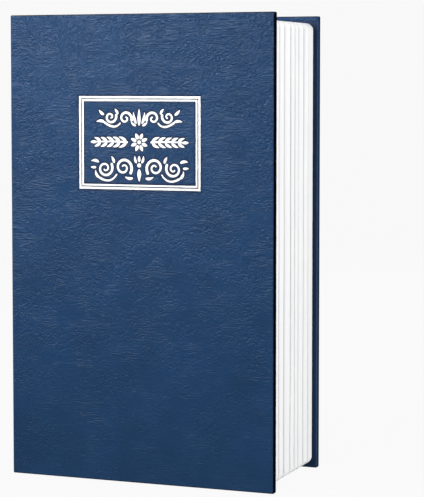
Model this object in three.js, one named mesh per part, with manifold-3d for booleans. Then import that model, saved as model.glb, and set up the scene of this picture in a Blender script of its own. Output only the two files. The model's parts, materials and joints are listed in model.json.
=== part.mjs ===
// Book diversion safe: a hard-cover book case round a moulded page block, with a steel safe box
// inside it that a hinged door with a three-dial combination lock closes.
// Millimetres. +Z runs up the standing book, the front cover faces -Y and the spine is at -X.
// The book is closed and its lock is in the unlocked position.

import * as THREE from 'three';
import { mergeVertices } from 'three/addons/utils/BufferGeometryUtils.js';
import Module from 'manifold-3d';

const wasm = await Module();
wasm.setup();

// Book case
const bookHeight = 180;
const bookWidth = 109;
const bookDepth = 55;
const boardThickness = 2.2;
const skinThickness = 0.4;
const coverRounding = 0.5;
const turnInWidth = 14;
const liningThickness = 0.15;
const liningMargin = 4;
const jointGap = 1;
const coverClearance = 0.3;

// Page block: how far the covers stand out past it, its walls and its ribbed edge
const foreEdgeSquare = 1.65;
const headSquare = 2.8;
const tailSquare = 2;
const blockWall = 5;
const blockForeWall = 5.85;
const blockSpineWall = 3;
const blockCorner = 2.8;
const leafGroupShares = [0.65, 0.73, 1.11, 1.43, 0.89, 0.81, 1.19, 1.07, 1.12];
const grooveDepth = 0.55;
const ribFade = 2;

// Safe box
const traySheet = 1;
const trayClearance = 0.25;
const trayCorner = 2;
const traySetback = 0.5;
const lipWidth = 6;

// Door and its hinge
const doorSheet = 1;
const doorRecess = 11.6;
const doorGap = 0.5;
const doorSeat = 0.3;
const doorCorner = 1.5;
const pinRadius = 0.75;
const pinClearance = 0.06;
const pinHead = 1.1;
const pinHeadTaper = 0.3;
const pinHeadGap = 0.3;
const pinEnd = 0.6;
const knuckleRadius = 1.8;
const knuckleCount = 5;
const knuckleGap = 0.3;
const hingeEndMargin = 6;
const leafSheet = 1;
const leafWidth = 7.5;
const hingeRunning = 0.4;

// Lock housing
const plateWidth = 21;
const plateHeight = 52;
const plateRise = 6;
const plateCorner = 1.4;
const plateRounding = 0.6;
const plateWall = 0.8;
const lockInset = 18.25;
const barrelWidth = 18;
const barrelMargin = 1.5;
const barrelGap = 0.15;

// Dials and the parts on their shaft
const dialCount = 3;
const dialRadius = 4.9;
const dialProtrusion = 1.5;
const dialThickness = 3.7;
const dialPitch = 6.3;
const dialEdge = 0.35;
const dialDigits = 10;
const dialNotch = 0.22;
const dialBore = 2.6;
const firstDialDrop = 11.8;
const windowHeight = 4.3;
const pocketClearance = 0.6;
const sleeveRadius = 2.5;
const sleeveNeck = 1.5;
const shaftRadius = 0.9;
const shaftClearance = 0.1;
const codeDiscRadius = 2.35;
const codeDiscThickness = 0.6;
const discGap = 0.25;
const gateDepth = 0.8;
const sleeveGap = 0.2;
const shaftSeat = 2.2;

// Fence, index strip and detent spring beside the dials
const fenceThickness = 1;
const fenceDepth = 2.2;
const toothThickness = 0.6;
const toothWidth = 1.8;
const gateClearance = 0.2;
const fenceRunning = 0.3;
const fenceTopMargin = 1;
const fenceLegHeight = 1.4;
const fenceTipRadius = 1;
const indexGap = 0.15;
const indexThickness = 0.3;
const indexTabFrom = 175;
const indexTabTo = 117;
const stripBacking = 0.4;
const stripOverlap = 0.2;
const springThickness = 0.3;
const springDepth = 2.2;
const fingerRise = 0.3;
const fingerHeight = 2.6;
const fingerCrest = 0.44;
const springGap = 0.3;

// Knob, spindle and locking cam
const knobDrop = 40.4;
const knobRadius = 8.1;
const knobRise = 4.4;
const knobGap = 0.3;
const knobTeeth = 48;
const knobToothDepth = 0.22;
const knobEdge = 0.5;
const knobBowlDepth = 2.4;
const knobBowlFlatness = 2.5;
const knobRim = 1.3;
const tongueTopWidth = 6.2;
const tongueEndWidth = 4.6;
const tongueReach = 3.7;
const tongueSink = 0.15;
const tongueRoot = 0.3;
const tongueCorner = 1;
const spindleRadius = 3;
const spindleClearance = 0.1;
const spindleNeck = 2.5;
const socketDepth = 2.2;
const quarterTurn = 90;
const snailRadius = 3.6;
const snailClearance = 0.6;
const snailReturn = 30;
const snailDwell = 210;
const camThickness = 1.5;
const camGap = 0.5;
const camHub = 5.5;
const camWidth = 9;
const camReach = 16.5;
const camCorner = 1.5;
const squareSide = 4.2;
const squareClearance = 0.1;
const threadRadius = 1.9;
const threadEnd = 0.6;
const nutFlats = 7;
const nutThickness = 2.4;

// Lock back cover, its screws and the code reset lever
const backSheet = 1.2;
const humpWall = 1;
const humpRounding = 0.5;
const keeperGap = 0.15;
const screwInset = 2.4;
const topScrewDrop = 5;
const bottomScrewRise = 3.8;
const screwShank = 0.9;
const screwHead = 1.6;
const screwHeadRise = 0.9;
const screwLength = 4.5;
const screwTip = 0.5;
const screwCrown = 1.1;
const screwCrownRise = 0.45;
const driveLength = 2.4;
const driveWidth = 0.5;
const driveDepth = 0.45;
const screwClearance = 0.15;
const leverOffset = -4.5;
const leverStopGap = 0.4;
const leverTravel = 2.2;
const leverNeckWidth = 1.2;
const leverNeckHeight = 2;
const leverFlange = 0.7;
const leverRise = 1.6;
const leverRibPitch = 1.2;
const leverRibWidth = 0.5;
const leverClearance = 0.25;

// Places worked out from the sizes above
const halfWidth = bookWidth / 2;
const halfDepth = bookDepth / 2;
const coverThickness = boardThickness + 2 * skinThickness;
const coverInner = halfDepth - coverThickness;
const spineReach = coverInner - jointGap;
const spineInner = -halfWidth + coverThickness;

const blockFront = -coverInner + liningThickness + coverClearance;
const blockBack = coverInner - liningThickness;
const blockLeft = spineInner;
const blockRight = halfWidth - foreEdgeSquare;
const blockBottom = tailSquare;
const blockTop = bookHeight - headSquare;

const trayOuter = {
  left: blockLeft + blockSpineWall + trayClearance,
  right: blockRight - blockForeWall - trayClearance,
  bottom: blockBottom + blockWall + trayClearance,
  top: blockTop - blockWall - trayClearance,
};
const trayInner = inset(trayOuter, traySheet);
const trayFront = blockFront + traySetback;
const trayBack = blockBack;

const doorFront = blockFront + doorRecess;
const doorBack = doorFront + doorSheet;
const doorArea = inset(trayInner, doorGap);
const lipFront = doorBack + doorSeat;

const hingeX = trayInner.left + knuckleGap + knuckleRadius;
const hingeY = doorBack - knuckleRadius;
const hingeBottom = doorArea.bottom + hingeEndMargin;
const hingeTop = doorArea.top - hingeEndMargin;

const lockX = doorArea.right - lockInset;
const lockMiddle = (doorArea.bottom + doorArea.top) / 2;
const plateTop = lockMiddle + plateHeight / 2;
const plateBottom = lockMiddle - plateHeight / 2;
const caseFront = doorFront - plateRise;
const chamberFront = caseFront + plateWall;
const barrel = {
  left: lockX - barrelWidth / 2,
  right: lockX + barrelWidth / 2,
  bottom: plateBottom + barrelMargin,
  top: plateTop - barrelMargin,
};

const dialY = caseFront - dialProtrusion + dialRadius;
const pocketRadius = dialRadius + pocketClearance;
const firstDialZ = plateTop - firstDialDrop;
const lastDialZ = firstDialZ - (dialCount - 1) * dialPitch;
const discCentreDrop = (dialPitch + dialThickness) / 2 - dialThickness / 2;
const toothTravel = codeDiscThickness / 2 + toothThickness / 2 + discGap;
const fenceLift = 2 * toothTravel;
const sleeveTopRise = dialThickness / 2;
const sleeveLength = dialPitch - sleeveGap;
const sleeveEnd = lastDialZ + sleeveTopRise - sleeveLength;

const indexInner = dialRadius + indexGap;
const indexOuter = indexInner + indexThickness;
const chamberLeft = lockX - indexOuter - stripBacking;
const fenceInner = lockX + dialRadius + fenceRunning;
const fenceOuter = fenceInner + fenceThickness;
const chamberRight = fenceOuter + fenceRunning;
const chamberTop = firstDialZ + windowHeight / 2;
const humpTop = chamberTop + humpWall;
const bearingTop = sleeveEnd - discGap;
const bearingBottom = bearingTop - shaftSeat;
const knobZ = plateTop - knobDrop;
const snailChamber = snailRadius + fenceLift + snailClearance;

const leverX = lockX + leverOffset;
const leverZ = humpTop + leverStopGap + leverTravel + leverFlange + leverNeckHeight / 2;
const leverSlotTop = leverZ + leverNeckHeight / 2 + leverClearance;
const leverSlotBottom = leverZ - leverNeckHeight / 2 - leverTravel - leverClearance;

const backFace = doorBack + backSheet;
const camFront = backFace + camGap;
const camBack = camFront + camThickness;
const nutBack = camBack + nutThickness;
const knobBack = caseFront - knobGap;
const knobFront = knobBack - knobRise;

const materials = {
  leatherette: paint(0x2e4a68, 0.62, 0),
  board: paint(0x9a8f7c, 0.95, 0),
  lining: paint(0x39495b, 0.9, 0),
  pages: paint(0xf1eee6, 0.75, 0),
  blackSteel: paint(0x1c1d20, 0.5, 0.4),
  blackPlastic: paint(0x232426, 0.55, 0),
  whitePlastic: paint(0xf4f3ee, 0.4, 0),
  steel: paint(0xb4b6b9, 0.35, 1),
  brass: paint(0xb59a58, 0.35, 1),
};

function paint(color, roughness, metalness) {
  return new THREE.MeshStandardMaterial({ color, roughness, metalness });
}

function inset(area, distance) {
  return {
    left: area.left + distance,
    right: area.right - distance,
    bottom: area.bottom + distance,
    top: area.top - distance,
  };
}

// Solids from three.js geometry

function solidOf(geometry) {
  const bare = new THREE.BufferGeometry();
  bare.setAttribute('position', geometry.getAttribute('position'));
  bare.setIndex(geometry.index);
  const merged = mergeVertices(bare, 1e-5);
  const corners = [];
  for (let i = 0; i < merged.index.count; i += 3) {
    const [a, b, c] = [merged.index.getX(i), merged.index.getX(i + 1), merged.index.getX(i + 2)];
    if (a !== b && b !== c && c !== a) corners.push(a, b, c);
  }
  return new wasm.Manifold(new wasm.Mesh({
    numProp: 3,
    vertProperties: new Float32Array(merged.getAttribute('position').array),
    triVerts: new Uint32Array(corners),
  }));
}

function geometryOf(solid) {
  const mesh = solid.getMesh();
  const geometry = new THREE.BufferGeometry();
  geometry.setAttribute('position', new THREE.BufferAttribute(new Float32Array(mesh.vertProperties), 3));
  geometry.setIndex(new THREE.BufferAttribute(new Uint32Array(mesh.triVerts), 1));
  const faceted = geometry.toNonIndexed();
  faceted.computeVertexNormals();
  return faceted;
}

function joined(...solids) {
  return solids.reduce((whole, next) => whole.add(next));
}

function extruded(shape, depth, curveSteps) {
  return new THREE.ExtrudeGeometry(shape, { depth, bevelEnabled: false, curveSegments: curveSteps });
}

// A shape drawn in X and Z, thick along Y
function slab(shape, yLow, yHigh, curveSteps = 2) {
  const geometry = extruded(shape, yHigh - yLow, curveSteps);
  geometry.rotateX(Math.PI / 2);
  geometry.translate(0, yHigh, 0);
  return solidOf(geometry);
}

// A shape drawn in X and Y, tall along Z
function column(shape, zLow, zHigh, curveSteps = 2) {
  const geometry = extruded(shape, zHigh - zLow, curveSteps);
  geometry.translate(0, 0, zLow);
  return solidOf(geometry);
}

// A shape drawn in Y and Z, thick along X
function sheet(shape, xLow, xHigh, curveSteps = 2) {
  const geometry = extruded(shape, xHigh - xLow, curveSteps);
  const turn = new THREE.Matrix4().makeBasis(
    new THREE.Vector3(0, 1, 0),
    new THREE.Vector3(0, 0, 1),
    new THREE.Vector3(1, 0, 0),
  );
  geometry.applyMatrix4(turn);
  geometry.translate(xLow, 0, 0);
  return solidOf(geometry);
}

// A profile of [radius, y] points turned about the Y axis, listed from low y to high y
function turned(profile, segments = 32) {
  const points = profile.map(([radius, y]) => new THREE.Vector2(radius, y));
  return solidOf(new THREE.LatheGeometry(points, segments));
}

function rod(radius, zLow, zHigh, segments = 24) {
  return column(new THREE.Shape(circlePoints(radius, segments)), zLow, zHigh);
}

function circlePoints(radius, count, centreX = 0, centreY = 0) {
  const points = [];
  for (let i = 0; i < count; i += 1) {
    const angle = (2 * Math.PI * i) / count;
    points.push(new THREE.Vector2(centreX + radius * Math.cos(angle), centreY + radius * Math.sin(angle)));
  }
  return points;
}

function rectangle({ left, right, bottom, top }, radius = 0) {
  const shape = new THREE.Shape();
  if (radius === 0) {
    shape.moveTo(left, bottom);
    shape.lineTo(right, bottom);
    shape.lineTo(right, top);
    shape.lineTo(left, top);
    return shape;
  }
  shape.absarc(right - radius, bottom + radius, radius, -Math.PI / 2, 0);
  shape.absarc(right - radius, top - radius, radius, 0, Math.PI / 2);
  shape.absarc(left + radius, top - radius, radius, Math.PI / 2, Math.PI);
  shape.absarc(left + radius, bottom + radius, radius, Math.PI, Math.PI * 1.5);
  return shape;
}

function outline(points) {
  return new THREE.Shape(points.map(([u, v]) => new THREE.Vector2(u, v)));
}

function around(centreU, centreV, width, height) {
  return {
    left: centreU - width / 2,
    right: centreU + width / 2,
    bottom: centreV - height / 2,
    top: centreV + height / 2,
  };
}

// A slab whose edges are rounded on its outer face and square on its inner face
function roundedSlab(area, cornerRadius, yOuter, yInner, rounding) {
  const side = Math.sign(yOuter - yInner);
  const shape = rectangle(inset(area, rounding), Math.max(cornerRadius - rounding, 0));
  const geometry = new THREE.ExtrudeGeometry(shape, {
    depth: Math.abs(yOuter - yInner) - rounding,
    bevelEnabled: true,
    bevelThickness: rounding,
    bevelSize: rounding,
    bevelSegments: 3,
    curveSegments: 2,
  });
  geometry.rotateX(Math.PI / 2);
  geometry.translate(0, side > 0 ? yOuter - rounding : yInner, 0);
  const yBeyond = yInner - 3 * side * rounding;
  const beyond = slab(rectangle(inset(area, -1)), Math.min(yInner, yBeyond), Math.max(yInner, yBeyond));
  return solidOf(geometry).subtract(beyond);
}

// Book case

function coverArea() {
  return { left: -halfWidth, right: halfWidth, bottom: 0, top: bookHeight };
}

function ordered(a, b) {
  return [Math.min(a, b), Math.max(a, b)];
}

// side is -1 for the front cover and 1 for the back cover
function coverBoard(side) {
  const [low, high] = ordered(side * (coverInner + skinThickness), side * (halfDepth - skinThickness));
  return slab(rectangle(inset(coverArea(), skinThickness)), low, high);
}

// The part of a board's inner face that the turned-in leatherette leaves bare
function bareBoardArea() {
  return {
    left: -halfWidth + skinThickness,
    right: halfWidth - turnInWidth,
    bottom: turnInWidth,
    top: bookHeight - turnInWidth,
  };
}

function coverLeatherette(side) {
  const panel = roundedSlab(coverArea(), 0, side * halfDepth, side * coverInner, coverRounding);
  const [low, high] = ordered(side * (coverInner - skinThickness), side * (coverInner + skinThickness));
  const window = slab(rectangle(bareBoardArea()), low, high);
  return panel.subtract(coverBoard(side)).subtract(window);
}

// The endpaper fills the bare board and lies over the turned-in edges
function coverLining(side) {
  const [fillLow, fillHigh] = ordered(side * coverInner, side * (coverInner + skinThickness));
  const [sheetLow, sheetHigh] = ordered(side * (coverInner - liningThickness), side * coverInner);
  const fill = slab(rectangle(bareBoardArea()), fillLow, fillHigh);
  const paper = slab(rectangle(inset(coverArea(), liningMargin)), sheetLow, sheetHigh);
  return fill.add(paper);
}

// A C-shaped section: the outer sheet, the head and tail edges and their turn-ins
function spineLeatherette() {
  const wrap = outline([
    [-halfWidth, 0],
    [spineInner, 0],
    [spineInner, turnInWidth],
    [spineInner - skinThickness, turnInWidth],
    [spineInner - skinThickness, skinThickness],
    [-halfWidth + skinThickness, skinThickness],
    [-halfWidth + skinThickness, bookHeight - skinThickness],
    [spineInner - skinThickness, bookHeight - skinThickness],
    [spineInner - skinThickness, bookHeight - turnInWidth],
    [spineInner, bookHeight - turnInWidth],
    [spineInner, bookHeight],
    [-halfWidth, bookHeight],
  ]);
  return slab(wrap, -spineReach, spineReach).add(jointStrip(spineReach, coverInner));
}

function spineBoard() {
  const area = {
    left: -halfWidth + skinThickness,
    right: spineInner - skinThickness,
    bottom: skinThickness,
    top: bookHeight - skinThickness,
  };
  return slab(rectangle(area), -spineReach, spineReach);
}

// The strip of leatherette that bridges the gap between the spine and a cover
function jointStrip(yLow, yHigh) {
  const area = { left: -halfWidth, right: -halfWidth + skinThickness, bottom: 0, top: bookHeight };
  return slab(rectangle(area), yLow, yHigh);
}

// Page block: a ribbed moulding swept round the head, fore-edge and tail, with a plain spine wall

// Each leaf group bulges between two grooves, and the groups vary in thickness as real ones do
function ribSection() {
  const depth = blockBack - blockFront;
  const shareTotal = leafGroupShares.reduce((total, share) => total + share, 0);
  const section = [];
  let start = blockFront;
  for (const share of leafGroupShares) {
    const thickness = (depth * share) / shareTotal;
    for (const t of [0, 0.1, 0.3, 0.7, 0.9]) {
      section.push({ y: start + t * thickness, sink: grooveDepth * (2 * t - 1) ** 4 });
    }
    start += thickness;
  }
  section.push({ y: blockBack, sink: grooveDepth });
  return section;
}

// Stations round the block: an outer point, its outward direction, an inner point and the rib height
function blockStations() {
  const innerLeft = blockLeft + blockSpineWall;
  const innerRight = blockRight - blockForeWall;
  const innerBottom = blockBottom + blockWall;
  const innerTop = blockTop - blockWall;
  const fadeEnd = blockLeft + ribFade;
  const innerFadeEnd = innerLeft + ribFade;
  const stations = [
    { at: [blockLeft, blockBottom], out: [0, -1], inner: [innerLeft, innerBottom], rib: 0 },
    { at: [fadeEnd, blockBottom], out: [0, -1], inner: [innerFadeEnd, innerBottom], rib: 1 },
  ];
  const corners = [
    { centreZ: blockBottom + blockCorner, innerZ: innerBottom, start: -Math.PI / 2 },
    { centreZ: blockTop - blockCorner, innerZ: innerTop, start: 0 },
  ];
  const cornerSteps = 6;
  for (const { centreZ, innerZ, start } of corners) {
    for (let i = 0; i <= cornerSteps; i += 1) {
      const angle = start + (i / cornerSteps) * (Math.PI / 2);
      const out = [Math.cos(angle), Math.sin(angle)];
      const at = [blockRight - blockCorner + blockCorner * out[0], centreZ + blockCorner * out[1]];
      stations.push({ at, out, inner: [innerRight, innerZ], rib: 1 });
    }
  }
  stations.push(
    { at: [fadeEnd, blockTop], out: [0, 1], inner: [innerFadeEnd, innerTop], rib: 1 },
    { at: [blockLeft, blockTop], out: [0, 1], inner: [innerLeft, innerTop], rib: 0 },
  );
  return stations;
}

function pageBlock() {
  const section = ribSection();
  const stations = blockStations();
  const positions = [];
  for (const { at, out, inner, rib } of stations) {
    for (const { y, sink } of section) {
      positions.push(at[0] - out[0] * sink * rib, y, at[1] - out[1] * sink * rib);
    }
    positions.push(inner[0], blockBack, inner[1], inner[0], blockFront, inner[1]);
  }
  const loop = section.length + 2;
  const corners = [];
  stations.forEach((station, i) => {
    const next = (i + 1) % stations.length;
    for (let s = 0; s < loop; s += 1) {
      const t = (s + 1) % loop;
      const [a, b, c, d] = [i * loop + s, next * loop + s, next * loop + t, i * loop + t];
      corners.push(a, c, b, a, d, c);
    }
  });
  const geometry = new THREE.BufferGeometry();
  geometry.setAttribute('position', new THREE.BufferAttribute(new Float32Array(positions), 3));
  geometry.setIndex(corners);
  return solidOf(geometry);
}

// Safe box: folded steel walls and floor, with a lip all round that the door closes against
function boxTray() {
  const outer = rectangle(trayOuter, trayCorner);
  const walls = slab(outer, trayFront, trayBack);
  const innerShape = rectangle(trayInner, trayCorner - traySheet);
  const recess = slab(innerShape, trayFront - traySheet, lipFront);
  const mouthShape = rectangle(inset(trayInner, lipWidth), trayCorner);
  const mouth = slab(mouthShape, lipFront - traySheet, lipFront + 2 * traySheet);
  const room = slab(innerShape, lipFront + traySheet, trayBack - traySheet);
  return walls.subtract(recess).subtract(mouth).subtract(room);
}

// Hinge: knuckles 0, 2, 4 belong to the leaf on the box and 1, 3 to the door

function knuckleSpan(index) {
  const length = (hingeTop - hingeBottom) / knuckleCount;
  return {
    bottom: hingeBottom + index * length + knuckleGap / 2,
    top: hingeBottom + (index + 1) * length - knuckleGap / 2,
  };
}

function knucklesOf(owner) {
  const spans = [];
  for (let i = owner; i < knuckleCount; i += 2) spans.push(knuckleSpan(i));
  return spans;
}

function knuckle({ bottom, top }) {
  return rod(knuckleRadius, bottom, top).translate([hingeX, hingeY, 0]);
}

function pinBore() {
  return rod(pinRadius + pinClearance, hingeBottom - 1, hingeTop + 1).translate([hingeX, hingeY, 0]);
}

// A comb outline: a straight strip with a tab at each knuckle span. Points are [across, up]
function comb(edge, tabEdge, farEdge, bottom, top, spans) {
  const points = [[edge, bottom], [farEdge, bottom], [farEdge, top], [edge, top]];
  for (const span of [...spans].reverse()) {
    points.push([edge, span.top], [tabEdge, span.top], [tabEdge, span.bottom], [edge, span.bottom]);
  }
  return points;
}

function hingeLeaf() {
  const clearOfDoor = hingeY - knuckleRadius - hingeRunning;
  const front = clearOfDoor - leafWidth;
  const spans = knucklesOf(0);
  const last = spans[spans.length - 1];
  const points = comb(clearOfDoor, hingeY, front, spans[0].bottom, last.top, spans);
  const plate = sheet(outline(points), trayInner.left, trayInner.left + leafSheet);
  return joined(plate, ...spans.map(knuckle)).subtract(pinBore());
}

function hingePin() {
  const headed = [
    [0, hingeBottom - pinHead],
    [pinHead, hingeBottom - pinHead + pinHeadTaper],
    [pinHead, hingeBottom - pinHeadGap],
    [pinRadius, hingeBottom - pinHeadGap],
    [pinRadius, hingeTop + pinEnd],
    [0, hingeTop + pinEnd],
  ];
  return turned(headed, 16).rotate([90, 0, 0]).translate([hingeX, hingeY, 0]);
}

function doorPanel() {
  const edge = hingeX + knuckleRadius + hingeRunning;
  const spans = knucklesOf(1);
  const { right, bottom, top } = doorArea;
  const shape = new THREE.Shape();
  shape.moveTo(edge, bottom);
  shape.absarc(right - doorCorner, bottom + doorCorner, doorCorner, -Math.PI / 2, 0);
  shape.absarc(right - doorCorner, top - doorCorner, doorCorner, 0, Math.PI / 2);
  shape.lineTo(edge, top);
  for (const span of [...spans].reverse()) {
    shape.lineTo(edge, span.top);
    shape.lineTo(hingeX, span.top);
    shape.lineTo(hingeX, span.bottom);
    shape.lineTo(edge, span.bottom);
  }
  const plate = slab(shape, doorFront, doorBack);
  const cutOut = slab(rectangle(inset(barrel, -barrelGap)), doorFront - 1, doorBack + 1);
  return joined(plate, ...spans.map(knuckle)).subtract(pinBore()).subtract(cutOut);
}

// Lock housing: the face plate in front of the door and the barrel through its cut-out
function lockCase() {
  const faceArea = around(lockX, lockMiddle, plateWidth, plateHeight);
  const face = roundedSlab(faceArea, plateCorner, caseFront, doorFront, plateRounding);
  const body = face.add(slab(rectangle(barrel), doorFront - 1, doorBack));
  const cuts = [...chambers(), ...dialPockets(), shaftSlots(), leverPocket(), spindleBore(), ...screwHoles()];
  return cuts.reduce((solid, cut) => solid.subtract(cut), body);
}

// The rooms inside the housing, open at the back: for the dials, the fence's leg and the snail
function chambers() {
  const behind = doorBack + 1;
  const dials = { left: chamberLeft, right: chamberRight, bottom: bearingTop, top: chamberTop };
  const channel = {
    left: fenceInner - fenceRunning,
    right: chamberRight,
    bottom: bearingBottom,
    top: bearingTop + 1,
  };
  const snail = {
    left: lockX - snailChamber,
    right: chamberRight,
    bottom: knobZ - snailChamber,
    top: bearingBottom,
  };
  return [dials, channel, snail].map((area) => slab(rectangle(area), chamberFront, behind));
}

function dialZ(index) {
  return firstDialZ - index * dialPitch;
}

function dialIndexes() {
  return Array.from({ length: dialCount }, (unused, i) => i);
}

// Round pockets that break through the face and so make the windows
function dialPockets() {
  return dialIndexes().map((i) => {
    const low = dialZ(i) - windowHeight / 2;
    return rod(pocketRadius, low, low + windowHeight, 48).translate([lockX, dialY, 0]);
  });
}

// Slots that the shaft drops into from behind, in the top wall and in the lower bearing wall
function shaftSlots() {
  const radius = shaftRadius + shaftClearance;
  const low = bearingBottom - 1;
  const high = chamberTop + shaftSeat;
  const round = rod(radius, low, high).translate([lockX, dialY, 0]);
  const area = { left: lockX - radius, right: lockX + radius, bottom: dialY, top: doorBack + 1 };
  return round.add(column(rectangle(area), low, high));
}

function leverPocket() {
  const pocket = rectangle(inset(leverSlotArea(), -leverFlange));
  return slab(pocket, doorBack - leverFlange - 2 * leverClearance, doorBack + 1);
}

function leverSlotArea() {
  const half = leverNeckWidth / 2 + leverClearance;
  return { left: leverX - half, right: leverX + half, bottom: leverSlotBottom, top: leverSlotTop };
}

function spindleBore() {
  const radius = spindleRadius + spindleClearance;
  const profile = [[0, caseFront - 1], [radius, caseFront - 1], [radius, backFace + 1], [0, backFace + 1]];
  return turned(profile).translate([lockX, 0, knobZ]);
}

// The screws sit on one diagonal of the barrel
function screwPlaces() {
  return [
    { x: barrel.right - screwInset, z: plateTop - topScrewDrop },
    { x: barrel.left + screwInset, z: plateBottom + bottomScrewRise },
  ];
}

function screwHoles() {
  const radius = screwShank + screwClearance;
  const front = backFace - screwLength - screwClearance;
  const profile = [[0, front], [radius, front], [radius, backFace + 1], [0, backFace + 1]];
  return screwPlaces().map(({ x, z }) => turned(profile, 16).translate([x, 0, z]));
}

// A dial is a wheel with one shallow notch between each two digits and broken edges
function dial() {
  const points = [];
  const steps = 6;
  for (let digit = 0; digit < dialDigits; digit += 1) {
    for (let step = 0; step < steps; step += 1) {
      const radius = step === 0 ? dialRadius - dialNotch : dialRadius;
      const share = step === 0 ? 0 : (step + 0.5) / (steps + 1);
      const angle = ((digit + 0.5 + share) * 2 * Math.PI) / dialDigits;
      points.push(new THREE.Vector2(radius * Math.sin(angle), -radius * Math.cos(angle)));
    }
  }
  const half = dialThickness / 2;
  const wheel = column(new THREE.Shape(points), -half, half);
  const blank = turned([
    [0, -half],
    [dialRadius - dialEdge, -half],
    [dialRadius, -half + dialEdge],
    [dialRadius, half - dialEdge],
    [dialRadius - dialEdge, half],
    [0, half],
  ], 60).rotate([90, 0, 0]);
  return wheel.intersect(blank).subtract(rod(dialBore, -half - 1, half + 1));
}

// A code sleeve carries its dial and ends in a disc with the gate that the fence passes through
function codeSleeve() {
  const hub = rod(sleeveRadius, -sleeveTopRise, sleeveTopRise);
  const neck = rod(sleeveNeck, sleeveTopRise - sleeveLength, 0);
  const discLow = -discCentreDrop - codeDiscThickness / 2;
  const disc = rod(codeDiscRadius, discLow, discLow + codeDiscThickness);
  const gate = {
    left: codeDiscRadius - gateDepth,
    right: codeDiscRadius + 1,
    bottom: -toothWidth / 2 - gateClearance,
    top: toothWidth / 2 + gateClearance,
  };
  const notch = column(rectangle(gate), -discCentreDrop - 1, -discCentreDrop + 1);
  const bore = rod(shaftRadius + shaftClearance, sleeveTopRise - sleeveLength - 1, sleeveTopRise + 1);
  return joined(hub, neck, disc).subtract(notch).subtract(bore);
}

function dialShaft() {
  const shaft = rod(shaftRadius, bearingBottom + discGap, chamberTop + shaftSeat - discGap);
  return shaft.translate([lockX, dialY, 0]);
}

// The fence lies beside the dials, one tooth under each code disc, and its foot rides on the snail
function fence() {
  const legTop = bearingBottom - fenceLift - fenceRunning;
  const legBottom = legTop - fenceLegHeight;
  const bladeTop = toothCentre(0) + toothThickness / 2 + fenceTopMargin;
  const tipCentre = knobZ + snailRadius + fenceRunning + fenceTipRadius;
  const toothTip = lockX + codeDiscRadius - gateDepth + gateClearance;
  const shape = new THREE.Shape();
  shape.moveTo(fenceOuter, legBottom);
  shape.lineTo(fenceOuter, bladeTop);
  shape.lineTo(fenceInner, bladeTop);
  for (const i of dialIndexes()) {
    shape.lineTo(fenceInner, toothCentre(i) + toothThickness / 2);
    shape.lineTo(toothTip, toothCentre(i) + toothThickness / 2);
    shape.lineTo(toothTip, toothCentre(i) - toothThickness / 2);
    shape.lineTo(fenceInner, toothCentre(i) - toothThickness / 2);
  }
  shape.lineTo(fenceInner, legTop);
  shape.lineTo(lockX - fenceTipRadius, legTop);
  shape.absarc(lockX, tipCentre, fenceTipRadius, Math.PI, 2 * Math.PI);
  shape.lineTo(lockX + fenceTipRadius, legBottom);
  const blade = slab(shape, dialY - fenceDepth / 2, dialY + fenceDepth / 2);
  return blade.subtract(toothSides());
}

function toothCentre(index) {
  return dialZ(index) - discCentreDrop - toothTravel;
}

// Narrows the teeth to the width of the gates
function toothSides() {
  const area = (yLow, yHigh) => ({ left: lockX, right: fenceInner, bottom: yLow, top: yHigh });
  const low = toothCentre(dialCount - 1) - toothThickness;
  const high = toothCentre(0) + toothThickness;
  const front = column(rectangle(area(dialY - fenceDepth, dialY - toothWidth / 2)), low, high);
  const back = column(rectangle(area(dialY + toothWidth / 2, dialY + fenceDepth)), low, high);
  return front.add(back);
}

// White index strip: a strip down the chamber wall with a curved tab over each dial's left shoulder
function indexStrip() {
  const strip = {
    left: chamberLeft,
    right: lockX - indexOuter + stripOverlap,
    bottom: chamberFront,
    top: dialY - springGap,
  };
  const half = dialThickness / 2;
  const back = column(rectangle(strip), lastDialZ - half, firstDialZ + half);
  const start = -THREE.MathUtils.degToRad(indexTabFrom);
  const end = -THREE.MathUtils.degToRad(indexTabTo);
  const tab = new THREE.Shape();
  tab.absarc(lockX, dialY, indexOuter, start, end, false);
  tab.absarc(lockX, dialY, indexInner, end, start, true);
  const tabs = dialIndexes().map((i) => column(tab, dialZ(i) - half, dialZ(i) + half, 6));
  return joined(back, ...tabs);
}

// Detent spring: a leaf on the chamber wall with one bowed finger at each dial
function detentSpring() {
  const front = dialY + springGap;
  const back = front + springDepth;
  const middle = (front + back) / 2;
  const face = chamberLeft + springThickness;
  const leaf = { left: chamberLeft, right: face, bottom: front, top: back };
  const finger = outline([
    [chamberLeft, front],
    [face, front],
    [face + fingerRise, middle - fingerCrest / 2],
    [face + fingerRise, middle + fingerCrest / 2],
    [face, back],
    [chamberLeft, back],
  ]);
  const strip = column(rectangle(leaf), lastDialZ - dialThickness / 2, firstDialZ + dialThickness / 2);
  const half = fingerHeight / 2;
  const fingers = dialIndexes().map((i) => column(finger, dialZ(i) - half, dialZ(i) + half));
  return joined(strip, ...fingers);
}

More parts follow.
